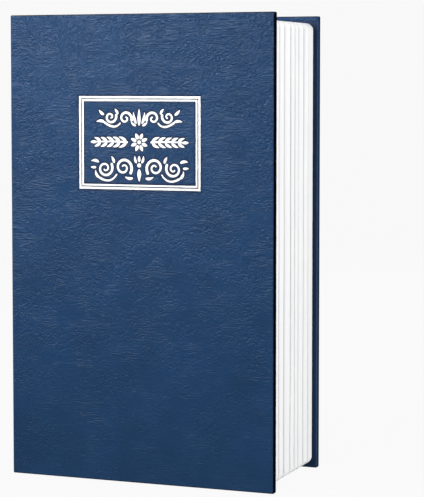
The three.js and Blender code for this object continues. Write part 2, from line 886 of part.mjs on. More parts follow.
// Knob: a knurled cup with a tapered finger tongue from its top edge to past its centre
function knob() {
  const points = [];
  for (let i = 0; i < 2 * knobTeeth; i += 1) {
    const radius = i % 2 === 0 ? knobRadius : knobRadius - knobToothDepth;
    const angle = (Math.PI * i) / knobTeeth;
    points.push(new THREE.Vector2(radius * Math.cos(angle), radius * Math.sin(angle)));
  }
  const knurled = slab(new THREE.Shape(points), knobFront, knobBack);
  const blank = turned([
    [0, knobFront],
    [knobRadius - knobEdge, knobFront],
    [knobRadius, knobFront + knobEdge],
    [knobRadius, knobBack - knobEdge],
    [knobRadius - knobEdge, knobBack],
    [0, knobBack],
  ], 64);
  const body = knurled.intersect(blank).subtract(knobBowl()).add(knobTongue());
  const socket = turned([
    [0, knobBack - socketDepth],
    [spindleNeck + spindleClearance, knobBack - socketDepth],
    [spindleNeck + spindleClearance, knobBack + 1],
    [0, knobBack + 1],
  ]);
  return body.subtract(socket);
}

// The bowl's floor curves up to the rim
function knobBowl() {
  const radius = knobRadius - knobRim;
  const profile = [[0, knobFront - 1], [radius, knobFront - 1]];
  const steps = 6;
  for (let i = 0; i <= steps; i += 1) {
    const share = 1 - i / steps;
    profile.push([radius * share, knobFront + knobBowlDepth * Math.sqrt(1 - share ** knobBowlFlatness)]);
  }
  return turned(profile, 40);
}

function knobTongue() {
  const endHalf = tongueEndWidth / 2;
  const topHalf = tongueTopWidth / 2;
  const top = knobRadius - knobRim / 2;
  const shape = new THREE.Shape();
  shape.moveTo(-topHalf, top - tongueCorner);
  shape.absarc(0, -tongueReach + endHalf, endHalf, Math.PI, 2 * Math.PI);
  shape.lineTo(topHalf, top - tongueCorner);
  shape.lineTo(topHalf - tongueCorner, top);
  shape.lineTo(-topHalf + tongueCorner, top);
  return slab(shape, knobFront + tongueSink, knobFront + knobBowlDepth + tongueRoot, 5);
}

// Spindle: a turned rod with the snail that lifts the fence, a square for the cam and a threaded end
function spindle() {
  const neckFront = knobBack - socketDepth + spindleClearance;
  const turnedRod = turned([
    [0, neckFront],
    [spindleNeck, neckFront],
    [spindleNeck, knobBack],
    [spindleRadius, knobBack],
    [spindleRadius, camFront],
    [threadRadius, camFront],
    [threadRadius, nutBack + threadEnd],
    [0, nutBack + threadEnd],
  ]);
  const squareShape = rectangle(around(0, 0, squareSide, squareSide));
  const square = slab(squareShape, camFront - 1, camBack - squareClearance);
  const snail = slab(snailOutline(), dialY - fenceDepth / 2, dialY + fenceDepth / 2);
  return joined(turnedRod, square, snail);
}

// The snail's radius grows evenly over the quarter turn that the knob makes
function snailOutline() {
  const points = [];
  const steps = 48;
  for (let i = 0; i < steps; i += 1) {
    const degrees = (360 * i) / steps;
    const angle = THREE.MathUtils.degToRad(degrees);
    const radius = snailRadius + fenceLift * snailShare(degrees);
    points.push([radius * Math.cos(angle), radius * Math.sin(angle)]);
  }
  return outline(points);
}

function snailShare(degrees) {
  if (degrees <= quarterTurn) return 1 - degrees / quarterTurn;
  const pastDwell = degrees - quarterTurn - snailDwell;
  return THREE.MathUtils.clamp(pastDwell / snailReturn, 0, 1);
}

// Cam: a hub on the spindle's square and an arm that turns behind the box lip
function cam() {
  const half = camWidth / 2;
  const hubAngle = Math.acos(half / camHub);
  const shape = new THREE.Shape();
  shape.absarc(0, 0, camHub, -hubAngle, Math.PI + hubAngle);
  shape.absarc(-half + camCorner, -camReach + camCorner, camCorner, Math.PI, 1.5 * Math.PI);
  shape.absarc(half - camCorner, -camReach + camCorner, camCorner, 1.5 * Math.PI, 2 * Math.PI);
  const holeSide = squareSide + 2 * squareClearance;
  const hole = slab(rectangle(around(0, 0, holeSide, holeSide)), camFront - 1, camBack + 1);
  return slab(shape, camFront, camBack, 4).subtract(hole);
}

function camNut() {
  const corner = nutFlats / 2 / Math.cos(Math.PI / 6);
  const hexagon = slab(new THREE.Shape(circlePoints(corner, 6)), camBack, nutBack);
  const radius = threadRadius + squareClearance;
  const bore = [[0, camBack - 1], [radius, camBack - 1], [radius, nutBack + 1], [0, nutBack + 1]];
  return hexagon.subtract(turned(bore));
}

// Back cover: a flange on the door's back, a hump over the dials and two posts that keep the shaft
function lockBackCover() {
  const plateArea = around(lockX, lockMiddle, plateWidth, plateHeight);
  const flange = slab(rectangle(plateArea, plateCorner), doorBack, backFace);
  const roomBack = Math.max(dialY + dialRadius + discGap, doorBack + humpRounding);
  const room = {
    left: lockX - dialRadius - discGap,
    right: lockX + dialRadius + discGap,
    bottom: lastDialZ - windowHeight / 2,
    top: chamberTop,
  };
  const hump = roundedSlab(inset(room, -humpWall), humpWall, roomBack + humpWall, doorBack, humpRounding);
  const cavity = slab(rectangle(room), doorBack - 1, roomBack);
  const posts = [
    shaftKeeper(bearingBottom + discGap, bearingTop - discGap),
    shaftKeeper(chamberTop + discGap, chamberTop + shaftSeat - discGap),
  ];
  const body = joined(flange.add(hump).subtract(cavity), ...posts);
  return [leverSlot(), spindleBore(), ...screwHoles()].reduce((solid, cut) => solid.subtract(cut), body);
}

function shaftKeeper(bottom, top) {
  const area = { left: lockX - shaftRadius, right: lockX + shaftRadius, bottom, top };
  return slab(rectangle(area), dialY + shaftRadius + keeperGap, doorBack + backSheet / 2);
}

function leverSlot() {
  return slab(rectangle(leverSlotArea()), doorBack - 1, backFace + 1);
}

// Lever: a neck through the slot between an inner foot and an outer thumb pad with three ribs
function resetLever() {
  const padWidth = leverNeckWidth + 2 * leverFlange;
  const wide = around(leverX, leverZ, padWidth, leverNeckHeight + 2 * leverFlange);
  const foot = slab(rectangle(wide), doorBack - leverFlange - leverClearance, doorBack - leverClearance);
  const neckShape = rectangle(around(leverX, leverZ, leverNeckWidth, leverNeckHeight));
  const neck = slab(neckShape, doorBack - leverFlange, backFace + leverFlange);
  const padFront = backFace + leverClearance;
  const pad = slab(rectangle(wide), padFront, padFront + leverFlange);
  const ribs = [-1, 0, 1].map((step) => {
    const rib = around(leverX, leverZ + step * leverRibPitch, padWidth, leverRibWidth);
    return slab(rectangle(rib), padFront, backFace + leverRise);
  });
  return joined(foot, neck, pad, ...ribs);
}

// A pan-head screw whose head bears on the back cover
function lockScrew() {
  const front = backFace - screwLength;
  const headTop = backFace + screwHeadRise;
  const blank = turned([
    [0, front],
    [screwShank, front + screwTip],
    [screwShank, backFace],
    [screwHead, backFace],
    [screwHead, headTop - screwCrownRise],
    [screwCrown, headTop],
    [0, headTop],
  ], 20);
  const drive = slab(rectangle(around(0, 0, driveLength, driveWidth)), headTop - driveDepth, headTop + 1);
  const cross = slab(rectangle(around(0, 0, driveWidth, driveLength)), headTop - driveDepth, headTop + 1);
  return blank.subtract(drive).subtract(cross);
}

// Assembly

const bookSafe = new THREE.Group();

function place(name, solid, material, position = [0, 0, 0]) {
  const mesh = new THREE.Mesh(geometryOf(solid), material);
  mesh.name = name;
  mesh.position.set(...position);
  bookSafe.add(mesh);
}

place('front_board', coverBoard(-1), materials.board);
place('front_leatherette', coverLeatherette(-1), materials.leatherette);
place('front_endpaper', coverLining(-1), materials.lining);
place('back_board', coverBoard(1), materials.board);
place('back_leatherette', coverLeatherette(1), materials.leatherette);
place('back_endpaper', coverLining(1), materials.lining);
place('spine_board', spineBoard(), materials.board);
place('spine_leatherette', spineLeatherette(), materials.leatherette);
place('front_joint_strip', jointStrip(-coverInner, -spineReach), materials.leatherette);
place('page_block', pageBlock(), materials.pages);

place('box_tray', boxTray(), materials.blackSteel);
place('box_hinge_leaf', hingeLeaf(), materials.blackSteel);
place('hinge_pin', hingePin(), materials.steel);
place('door_panel', doorPanel(), materials.blackSteel);

place('lock_case', lockCase(), materials.blackPlastic);
place('lock_back_cover', lockBackCover(), materials.blackPlastic);
place('index_strip', indexStrip(), materials.whitePlastic);
place('detent_spring', detentSpring(), materials.steel);
place('dial_shaft', dialShaft(), materials.steel);
for (const i of dialIndexes()) {
  place(`dial_${i + 1}`, dial(), materials.whitePlastic, [lockX, dialY, dialZ(i)]);
  place(`code_sleeve_${i + 1}`, codeSleeve(), materials.brass, [lockX, dialY, dialZ(i)]);
}
place('fence', fence(), materials.steel);
place('knob', knob(), materials.blackPlastic, [lockX, 0, knobZ]);
place('spindle', spindle(), materials.steel, [lockX, 0, knobZ]);
place('cam', cam(), materials.steel, [lockX, 0, knobZ]);
place('cam_nut', camNut(), materials.steel, [lockX, 0, knobZ]);
place('reset_lever', resetLever(), materials.blackPlastic);
screwPlaces().forEach(({ x, z }, i) => {
  place(`lock_screw_${i + 1}`, lockScrew(), materials.steel, [x, 0, z]);
});

export default bookSafe;
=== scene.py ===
# %% [markdown]
# # A book that hides a safe
# The real object is a hard-cover book whose pages are an off-white moulding round a black steel box.
# Its boards, box, hinges and lock come ready as solids, in metres. This lesson gives them their looks:
# covering cloth, foil stamping, page edges, powder coat, moulded plastic, printed numerals and metal.
# The frame is loaded first, because every later piece takes its place and size from a solid.

# %% Load the frame
import json
import math

import bmesh
import bpy
import numpy as np
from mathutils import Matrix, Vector, noise


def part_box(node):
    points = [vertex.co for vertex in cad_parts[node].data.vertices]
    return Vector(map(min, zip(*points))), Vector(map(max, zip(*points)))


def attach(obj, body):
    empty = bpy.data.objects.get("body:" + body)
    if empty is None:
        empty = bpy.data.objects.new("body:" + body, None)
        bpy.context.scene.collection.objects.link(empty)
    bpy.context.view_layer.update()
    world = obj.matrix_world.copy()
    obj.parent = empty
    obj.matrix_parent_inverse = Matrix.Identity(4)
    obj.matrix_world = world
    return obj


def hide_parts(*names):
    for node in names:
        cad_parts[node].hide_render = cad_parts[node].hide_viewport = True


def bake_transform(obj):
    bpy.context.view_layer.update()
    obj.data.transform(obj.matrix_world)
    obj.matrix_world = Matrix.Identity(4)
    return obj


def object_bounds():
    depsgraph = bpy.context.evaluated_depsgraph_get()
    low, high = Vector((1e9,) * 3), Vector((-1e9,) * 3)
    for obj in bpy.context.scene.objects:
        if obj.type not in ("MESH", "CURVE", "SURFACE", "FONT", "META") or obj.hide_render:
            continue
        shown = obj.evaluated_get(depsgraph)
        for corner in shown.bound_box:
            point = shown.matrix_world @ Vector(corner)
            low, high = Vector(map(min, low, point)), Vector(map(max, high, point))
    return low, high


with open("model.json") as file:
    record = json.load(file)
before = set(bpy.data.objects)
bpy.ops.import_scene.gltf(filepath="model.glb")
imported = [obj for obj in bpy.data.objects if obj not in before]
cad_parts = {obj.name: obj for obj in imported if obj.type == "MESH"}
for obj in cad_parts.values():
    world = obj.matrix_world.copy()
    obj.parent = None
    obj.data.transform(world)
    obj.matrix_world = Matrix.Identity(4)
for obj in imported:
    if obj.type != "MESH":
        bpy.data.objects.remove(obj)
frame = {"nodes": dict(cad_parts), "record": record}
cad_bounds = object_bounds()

MM = 0.001

# %% [markdown]
# ## The camera
# A product photograph like this one is taken with a long lens from a little above and to the right.
# A camera could be placed by eye, but a book's straight edges show every error. So it is given as a
# photographer would say it: how far it stands, how far it is turned and tipped, and what it looks at.
# The picture is cropped below its optical middle, which a small vertical shift repeats.

# %% Place the camera
IMAGE_HEIGHT = 497
SENSOR_SIZE = 36.0
FOCAL_LENGTH = 1878.5 * SENSOR_SIZE / IMAGE_HEIGHT
FRAME_DROP = 45 / IMAGE_HEIGHT
CAMERA_TURN = math.radians(21.22)
CAMERA_TIP = math.radians(3.66)
CAMERA_DISTANCE = 742.8 * MM
AIM_RIGHT = 17.8 * MM
AIM_UP = 16.2 * MM


def add_object(name, data):
    made = bpy.data.objects.new(name, data)
    bpy.context.collection.objects.link(made)
    return made


def look_along(thing, direction):
    """Turn a camera or a lamp, which look along their own -Z."""
    thing.rotation_euler = direction.to_track_quat("-Z", "Y").to_euler()


low, high = (Vector(corner) for corner in cad_bounds)
book_middle = (low + high) / 2
looking = Vector((-math.sin(CAMERA_TURN) * math.cos(CAMERA_TIP),
                  math.cos(CAMERA_TURN) * math.cos(CAMERA_TIP),
                  -math.sin(CAMERA_TIP)))
rightward = Vector((math.cos(CAMERA_TURN), math.sin(CAMERA_TURN), 0.0))
upward = rightward.cross(looking)

camera_data = bpy.data.cameras.new("camera")
camera_data.lens = FOCAL_LENGTH
camera_data.sensor_width = SENSOR_SIZE
camera_data.shift_y = -FRAME_DROP
camera_data.clip_start = 0.01
camera = add_object("camera", camera_data)
camera.location = book_middle + rightward * AIM_RIGHT + upward * AIM_UP - looking * CAMERA_DISTANCE
look_along(camera, looking)
bpy.context.scene.camera = camera
bpy.context.scene.view_settings.view_transform = "Standard"
print("camera at", [round(value / MM, 1) for value in camera.location], "mm, lens", round(FOCAL_LENGTH, 1))

# %% [markdown]
# ## A small kit for materials
# Each finish is a tree of shader nodes. Built by hand, a tree takes many lines that look alike, so this kit
# adds a node and fills or links its sockets in one call, with short names for sums, ramps and mixes.
# Textures take the object's own coordinates in millimetres, so that a grain keeps its real size and moves
# with its piece.

# %% Helpers for shader nodes
def srgb(red, green, blue):
    """A colour given as it looks on screen, 0 to 255, as the linear values that a shader takes."""
    parts = [part / 255 for part in (red, green, blue)]
    return (*(p / 12.92 if p <= 0.04045 else ((p + 0.055) / 1.055) ** 2.4 for p in parts), 1.0)


class Nodes:
    """A node tree. Apart from fill and node, each method returns the socket that holds its result."""

    def __init__(self, tree):
        self.tree = tree

    def fill(self, socket, value):
        if isinstance(value, bpy.types.NodeSocket):
            self.tree.links.new(value, socket)
        else:
            socket.default_value = value

    def node(self, kind, sockets=None, **settings):
        """A new node. Sockets are given by name or number, each with a value or a socket to link."""
        made = self.tree.nodes.new("ShaderNode" + kind)
        for name, value in settings.items():
            setattr(made, name, value)
        for key, value in (sockets or {}).items():
            self.fill(made.inputs[key], value)
        return made

    def calculate(self, operation, *values):
        return self.node("Math", dict(enumerate(values)), operation=operation).outputs[0]

    def smooth_step(self, value, start, end, low=0.0, high=1.0):
        ramp = dict(enumerate((value, start, end, low, high)))
        return self.node("MapRange", ramp, interpolation_type="SMOOTHSTEP").outputs[0]

    def mix(self, share, first, second):
        return self.node("Mix", {0: share, 6: first, 7: second}, data_type="RGBA").outputs[2]

    def attribute(self, name):
        return self.node("Attribute", attribute_name=name).outputs["Fac"]

    def places(self, scale=1.0, offset=(0.0, 0.0, 0.0)):
        """Millimetres in the object, multiplied by one number or one for each axis to squeeze a texture."""
        source = self.node("TexCoord").outputs["Object"]
        sockets = {"Vector": source, "Scale": np.broadcast_to(scale, 3) / MM, "Location": offset}
        return self.node("Mapping", sockets).outputs[0]

    def noise(self, where, detail=2.0, roughness=0.5):
        """A noise at some places, or at the object's own with a scale."""
        if not isinstance(where, bpy.types.NodeSocket):
            where = self.places(where)
        sockets = {"Vector": where, "Scale": 1.0, "Detail": detail, "Roughness": roughness}
        return self.node("TexNoise", sockets).outputs["Fac"]

    def bump(self, height, distance, strength=1.0):
        sockets = {"Height": height, "Distance": distance, "Strength": strength}
        return self.node("Bump", sockets).outputs[0]


class Finish(Nodes):
    """A material with the usual shader, whose sockets are set and linked by name."""

    def __init__(self, name, roughness=0.5, metallic=0.0, specular=0.5):
        self.material = bpy.data.materials.new(name)
        self.material.use_nodes = True
        super().__init__(self.material.node_tree)
        self.shader = self.tree.nodes["Principled BSDF"]
        self.set({"Roughness": roughness, "Metallic": metallic, "Specular IOR Level": specular})

    def set(self, sockets):
        for name, value in sockets.items():
            if value is not None:
                self.fill(self.shader.inputs[name], value)

    def dress(self, colour, normal=None, roughness=None):
        """Fill the shader's colour, normal and roughness, and give back the material."""
        self.set({"Base Color": colour, "Normal": normal, "Roughness": roughness})
        return self.material


# %% [markdown]
# ## The stage
# The photograph has a plain white ground and hardly any shadow. A white floor that is only lit would
# need so much light that the book would wash out. So the floor and the world answer the camera, and
# mirror-like rays, with plain white, and the lamps suit the object. A share of the floor's own shading
# is kept, so that the book still has a soft shadow to stand on.

# %% White for the rays that show the surroundings
FLOOR_GREY = srgb(140, 141, 143)
SHADOW_SHARE = 0.06
FILL_COLOUR = srgb(250, 252, 255)
FILL_STRENGTH = 0.085
WHITE = (1.0, 1.0, 1.0, 1.0)


def show_white(nodes, lit, white, output, share=1.0):
    """Mix a plain white over a lit one, for rays from the camera, off a gloss or through glass."""
    path = nodes.node("LightPath").outputs
    seen = nodes.calculate("MAXIMUM", path["Is Camera Ray"], path["Is Glossy Ray"])
    seen = nodes.calculate("MAXIMUM", seen, path["Is Transmission Ray"])
    seen = nodes.calculate("MULTIPLY", seen, share)
    mixed = nodes.node("MixShader", {0: seen, 1: lit.outputs[0], 2: white.outputs[0]})
    nodes.fill(nodes.tree.nodes[output].inputs["Surface"], mixed.outputs[0])


def make_world():
    world = bpy.data.worlds.new("studio")
    bpy.context.scene.world = world
    world.use_nodes = True
    nodes = Nodes(world.node_tree)
    fill = nodes.tree.nodes["Background"]
    fill.inputs["Color"].default_value = FILL_COLOUR
    fill.inputs["Strength"].default_value = FILL_STRENGTH
    show_white(nodes, fill, nodes.node("Background", {"Color": WHITE}), "World Output")


make_world()
print("fill light", FILL_STRENGTH)

# %% Floor and backdrop
FLOOR_REACH = 1.6
BACKDROP_RADIUS = 0.5
BACKDROP_HEIGHT = 1.8
BACKDROP_STEPS = 12


def shares(count):
    """0 to 1 in that many equal steps."""
    return [step / count for step in range(count + 1)]


def backdrop_profile():
    """Floor, a quarter turn and a wall, as y and z."""
    angles = [math.radians(90) * share for share in shares(BACKDROP_STEPS)]
    turn = [(FLOOR_REACH - BACKDROP_RADIUS * (1 - math.sin(angle)), BACKDROP_RADIUS * (1 - math.cos(angle)))
            for angle in angles]
    return [(-FLOOR_REACH, 0.0), *turn, (FLOOR_REACH, BACKDROP_HEIGHT)]


def make_floor():
    finish = Finish("floor_white", roughness=0.9, specular=0.0)
    finish.dress(FLOOR_GREY)
    white = finish.node("Emission", {"Strength": 1.0})
    show_white(finish, finish.shader, white, "Material Output", 1 - SHADOW_SHARE)
    profile = backdrop_profile()
    corners = [(x, y, z) for x in (-FLOOR_REACH, FLOOR_REACH) for y, z in profile]
    count = len(profile)
    mesh = bpy.data.meshes.new("floor")
    mesh.from_pydata(corners, [], [(i, i + 1, count + i + 1, count + i) for i in range(count - 1)])
    mesh.shade_smooth()
    mesh.materials.append(finish.material)
    add_object("floor", mesh)


make_floor()
print("stage", FLOOR_REACH * 2, "m wide")

# %% [markdown]
# ## The lamps
# The cover in the photograph is lighter and slightly hazy at its head, dark and clear at its tail, and
# the page edges are almost white. A lacquered cover looks hazy where it mirrors a lamp, so one softbox
# stands to the left, where the cover's head mirrors it to the camera. A small one above does the rest.
# One at the fore-edge lights the pages and grazes the cover, and one behind lights the back. All are area
# lamps, as a studio softbox is, and the camera doesn't see them. The grid that photographers clip on a
# softbox is the lamp's spread: it keeps the light off what it isn't aimed at.

# %% Softboxes
def softbox(name, place, target, size, watts, spread=180):
    data = bpy.data.lights.new(name, "AREA")
    data.shape = "SQUARE"
    data.size = size
    data.energy = watts
    data.spread = math.radians(spread)
    lamp = add_object(name, data)
    lamp.visible_camera = False
    lamp.location = place
    look_along(lamp, Vector(target) - Vector(place))
    print(name, watts, "W")


softbox("left_softbox", (-0.40, -0.66, 0.38), (-0.02, -0.03, 0.17), 0.25, 0.36, spread=50)
softbox("top_softbox", (-0.16, -0.24, 0.42), (-0.02, -0.03, 0.17), 0.17, 0.13, spread=60)
softbox("fore_edge_softbox", (0.80, -0.06, 0.20), (0.05, 0.0, 0.09), 0.35, 5.1)
softbox("back_softbox", (0.15, 0.75, 0.40), (0.0, 0.0, 0.10), 0.40, 3.0)

# %% [markdown]
# ## Leatherette
# The covering is a bookbinder's leatherette: navy paper with an embossed, lacquered face. Its figure is
# not an even grain. Patches of short level wrinkles alternate with a crackle of small cells, with faint
# upright creases and with nearly smooth places. A single noise can't give that. So three figures are
# made, each with its own direction and size, and a large noise for each says where it shows. A wrinkle is
# a narrow ridge where a stretched noise passes its middle value, and the noise is looked up at places
# that a second noise has pushed about, so that the ridges run in short waves.

# %% Ridges
PUSH_SCALE = 0.4
PUSH_REACH = (1.5, 1.5, 0.6)


def pushed_about(cloth, places):
    """The same places, each moved by a noise in every direction."""
    wander = cloth.node("TexNoise", {"Vector": places, "Scale": PUSH_SCALE, "Detail": 1.0})
    centred = cloth.node("VectorMath", {0: wander.outputs["Color"], 1: (0.5, 0.5, 0.5)},
                         operation="SUBTRACT")
    moved = {0: centred.outputs[0], 1: PUSH_REACH, 2: places}
    return cloth.node("VectorMath", moved, operation="MULTIPLY_ADD").outputs[0]


def ridges(cloth, places, stretch, width):
    """1 along the lines where a stretched noise passes its middle value, falling to 0 beside them."""
    stretched = cloth.node("Mapping", {"Vector": places, "Scale": stretch}).outputs[0]
    value = cloth.noise(stretched, detail=1.5)
    away = cloth.calculate("ABSOLUTE", cloth.calculate("SUBTRACT", value, 0.5))
    return cloth.smooth_step(away, width, 0.0)


# %% [markdown]
# The embossing is sharp at the head and shallow at the tail, where such a book is handled and stands. The
# figures drive the bump, because the real ones show by the light on them, and they tint the ridges a
# little lighter, a painted highlight that is stronger towards the head. Two attributes come with the mesh:
# one paints shade round the stamp and along the page block, and edge paints the rim near-black, also as
# painted shade.

# %% The leatherette's finish
COVER_BLUE = srgb(20, 62, 103)
COVER_DEEP = srgb(17, 57, 96)
# The ridges' lighter blue is a painted highlight.
RIDGE_HIGHLIGHT_BLUE = srgb(50, 88, 136)
# Painted shade round the stamp and along the page block.
PAINTED_SHADE_BLUE = srgb(10, 26, 56)
# The near-black of the edges is painted shade.
EDGE_SHADE_BLACK = srgb(4, 5, 11)
# Stretch and width of the ridges, then weight, scale, offset and range of the patches where they show
FIGURES = [
    ((0.14, 0.14, 1.15), 0.2, 1.0, (0.07, 0.07, 0.12), (0, 0, 0), (0.42, 0.64)),
    ((1.0, 1.0, 0.15), 0.16, 0.7, (0.1, 0.1, 0.06), (17, 3, 8), (0.44, 0.62)),
    ((0.56, 0.56, 0.72), 0.17, 0.85, (0.08, 0.08, 0.1), (5, 29, 2), (0.26, 0.6)),
]
TAIL_FIGURE, HEAD_FIGURE = 0.4, 1.25
EMBOSS_DEPTH = 0.18 * MM


def leatherette_height(cloth):
    """The embossed figure with its fine grain, and the figure alone."""
    places = pushed_about(cloth, cloth.places())
    figure = 0.0
    for stretch, width, weight, scale, offset, shows in FIGURES:
        region = cloth.noise(cloth.places(scale, offset), roughness=0.6)
        patch = cloth.smooth_step(region, *shows, 0.0, weight)
        shown = cloth.calculate("MULTIPLY", ridges(cloth, places, stretch, width), patch)
        figure = cloth.calculate("MAXIMUM", figure, shown)
    up_the_book = cloth.node("SeparateXYZ", {0: cloth.places()}).outputs["Z"]
    figure = cloth.calculate("MULTIPLY", figure,
                             cloth.smooth_step(up_the_book, 10, 165, TAIL_FIGURE, HEAD_FIGURE))
    grain = cloth.noise(1.7, detail=3.0, roughness=0.6)
    return cloth.calculate("MULTIPLY_ADD", grain, 0.5, figure), figure


def leatherette_finish():
    cloth = Finish("leatherette", roughness=0.35, specular=0.18)
    height, figure = leatherette_height(cloth)
    tint = cloth.noise(cloth.places(0.06, (5, 2, 9)), detail=3.0)
    blue = cloth.mix(cloth.smooth_step(tint, 0.35, 0.65), COVER_DEEP, COVER_BLUE)
    # A painted highlight on the ridges, stronger towards the head.
    ridge_highlight = cloth.mix(cloth.calculate("MULTIPLY", figure, 0.2), blue, RIDGE_HIGHLIGHT_BLUE)
    # Painted shade round the stamp and along the page block.
    colour = cloth.mix(cloth.calculate("MULTIPLY", cloth.attribute("painted_shade"), 0.75), ridge_highlight, PAINTED_SHADE_BLUE)
    return cloth.dress(cloth.mix(cloth.attribute("edge"), colour, EDGE_SHADE_BLACK),
                       cloth.bump(height, EMBOSS_DEPTH), cloth.smooth_step(height, 0.2, 1.2, 0.38, 0.32))


leatherette = leatherette_finish()
print("leatherette nodes:", len(leatherette.node_tree.nodes))

# %% [markdown]
# Round the boards' edges the cloth is dull, and painted nearly black as shade, most where the attribute
# named edge is highest. A dull finish has no gloss at all, and gloss is not switched by an attribute here,
# so the edges' faces take a finish of their own, and the attribute named edge says how black they are. A
# dull finish has no gloss at all, and gloss can't be switched by an attribute, because the export drops a
# linked specular. On the last part of the face it blends the colour towards theirs.

# %% The edges' finish of painted shade
def rubbed_edge_finish():
    cloth = Finish("painted_edge_shade", roughness=0.9, specular=0.0)
    # Near-black where the attribute named edge is high, dark blue where it is low: painted shade.
    mottle = cloth.noise((0.5, 0.5, 0.12), detail=4.0, roughness=0.7)
    black = cloth.mix(cloth.smooth_step(mottle, 0.55, 0.75), EDGE_SHADE_BLACK, srgb(12, 18, 34))
    blue = cloth.mix(mottle, srgb(26, 44, 72), srgb(38, 60, 92))
    return cloth.dress(cloth.mix(cloth.attribute("edge"), blue, black),
                       cloth.bump(cloth.noise(2.0, detail=3.0), 0.03 * MM))


painted_edge_shade = rubbed_edge_finish()
print("rubbed edge nodes:", len(painted_edge_shade.node_tree.nodes))

# %% [markdown]
# ## The stamped title
# A foil block on the cover carries a double frame, and between its rules this copy has three rows of
# plain ornament, such as a binder's stock tools make: a scroll, a garland with a rosette, and a larger
# scroll with a drop. The ornament could be drawn as curves, but its strokes overlap, and the press also
# dents the cloth under it. So every stroke is a chain of points with a half-width, and one function
# says how far any place on the cover lies from the nearest stroke. The foil is where that distance is
# below zero, and the dent follows the same distance. All is in millimetres here, and angles in degrees.

# %% Strokes of the ornament
CURL_STEPS, LEAF_STEPS, STEM_STEPS = 20, 8, 12


def at_angle(x, z, reach, angle):
    """The place that lies that far from another, in the direction of an angle in radians."""
    return x + reach * math.cos(angle), z + reach * math.sin(angle)


def curl(centre_x, centre_z, radius, turns, start, direction, half):
    """A volute: winds in from its outer end, thinning, and ends in a round eye."""
    points = []
    for share in shares(int(CURL_STEPS * turns)):
        angle = math.radians(start + direction * turns * 360 * share)
        place = at_angle(centre_x, centre_z, radius * (1 - 0.82 * share), angle)
        points.append((*place, half * (1 - 0.45 * share)))
    return points + [(*points[-1][:2], half * 1.15)]


def leaf(base_x, base_z, angle, length, half, bend=0.0):
    """A pointed leaf, widest a third of the way along. Its bend is in radians."""
    points = []
    for share in shares(LEAF_STEPS):
        place = at_angle(base_x, base_z, length * share, math.radians(angle) + bend * share)
        points.append((*place, half * math.sin(math.pi * share ** 0.75) + 0.05))
    return points


def stem(start, middle, end, half_start, half_end):
    """A bowed stem through three points, as a quadratic curve."""
    control = [2 * m - (a + b) / 2 for a, m, b in zip(start, middle, end)]
    points = []
    for t in shares(STEM_STEPS):
        x, z = ((1 - t) ** 2 * a + 2 * t * (1 - t) * c + t * t * b for a, c, b in zip(start, control, end))
        points.append((x, z, half_start + (half_end - half_start) * t))
    return points


def dot(x, z, half):
    return [(x, z, half), (x + 0.01, z, half)]


def with_mirror_image(strokes):
    return strokes + [[(-x, z, half) for x, z, half in stroke] for stroke in strokes]


# %% [markdown]
# Each row is drawn for its right half and mirrored, which keeps it even and makes sure that no stroke
# reads as writing. The rows have the length and the height that a three-line title would have.

# %% Rows of the ornament
def scroll_row(z):
    """A palmette between two running scrolls that end in leaves."""
    return [leaf(0.0, z - 3.2, 90, 6.6, 0.62)] + with_mirror_image([
        curl(5.7, z - 0.3, 2.7, 1.2, 195, -1, 0.5),
        curl(11.9, z + 0.2, 2.5, 1.2, 165, 1, 0.48),
        stem((7.9, z - 2.2), (10.6, z - 3.5), (14.3, z - 2.0), 0.3, 0.42),
        leaf(14.4, z - 1.9, 38, 3.4, 0.5, -0.6),
        leaf(14.6, z + 1.0, 25, 2.8, 0.5, 0.3),
        leaf(8.8, z + 1.2, 75, 2.5, 0.45, -0.3),
        leaf(1.1, z - 2.4, 58, 4.6, 0.5, 0.3),
        leaf(1.3, z - 3.1, 14, 2.6, 0.42, 0.4),
    ])


def garland_row(z):
    """A rosette in a chain of paired leaves."""
    rosette = [dot(0.0, z, 0.75)]
    petals = 8
    for index in range(petals):
        angle = 360 * (index + 0.5) / petals
        rosette.append(leaf(*at_angle(0.0, z, 1.35, math.radians(angle)), angle, 2.3, 0.62))
    half = [stem((5.0, z), (12.0, z + 0.2), (18.4, z), 0.36, 0.26), leaf(17.9, z, 0, 2.4, 0.55)]
    for index in range(5):
        for side in (1, -1):
            foot = (5.3 + 2.7 * index, z + 0.2 * side)
            half.append(leaf(*foot, 50 * side, 3.6 - 0.16 * index, 0.52, -0.35 * side))
    return rosette + with_mirror_image(half)


def pendant_row(z):
    """Two large volutes each side, with leaves, and a drop in the middle."""
    drop = [dot(0.0, z + 1.2, 0.8), leaf(0.0, z - 0.2, -90, 4.8, 0.75), leaf(0.0, z + 2.5, 90, 2.4, 0.5)]
    return drop + with_mirror_image([
        curl(6.5, z + 0.3, 3.6, 1.45, 215, -1, 0.54),
        curl(14.2, z - 0.1, 3.2, 1.45, 150, 1, 0.5),
        stem((9.4, z - 2.4), (12.4, z - 4.7), (16.4, z - 3.8), 0.3, 0.42),
        leaf(16.5, z - 3.7, 20, 3.4, 0.5, 0.7),
        leaf(16.9, z + 2.2, 42, 3.2, 0.52, -0.6),
        leaf(18.0, z + 0.2, 2, 2.3, 0.45),
        leaf(10.4, z + 2.0, 82, 2.8, 0.5, -0.3),
        leaf(2.6, z - 3.6, -26, 3.4, 0.5, 0.6),
        leaf(1.0, z + 2.0, 52, 2.9, 0.45, 0.4),
    ])


ornament = {"foil_scroll": scroll_row(140.6), "foil_garland": garland_row(131.2),
            "foil_pendant": pendant_row(121.2)}
ornament_strokes = [stroke for strokes in ornament.values() for stroke in strokes]
print("ornament strokes:", len(ornament_strokes))

# %% [markdown]
# A place lies as far from a stroke as from the nearest of its segments, less the half-width there. The
# double frame is two rules with a hair's gap between them, and its distance comes from that of a
# rectangle, taken at the rules' outer and inner edges.

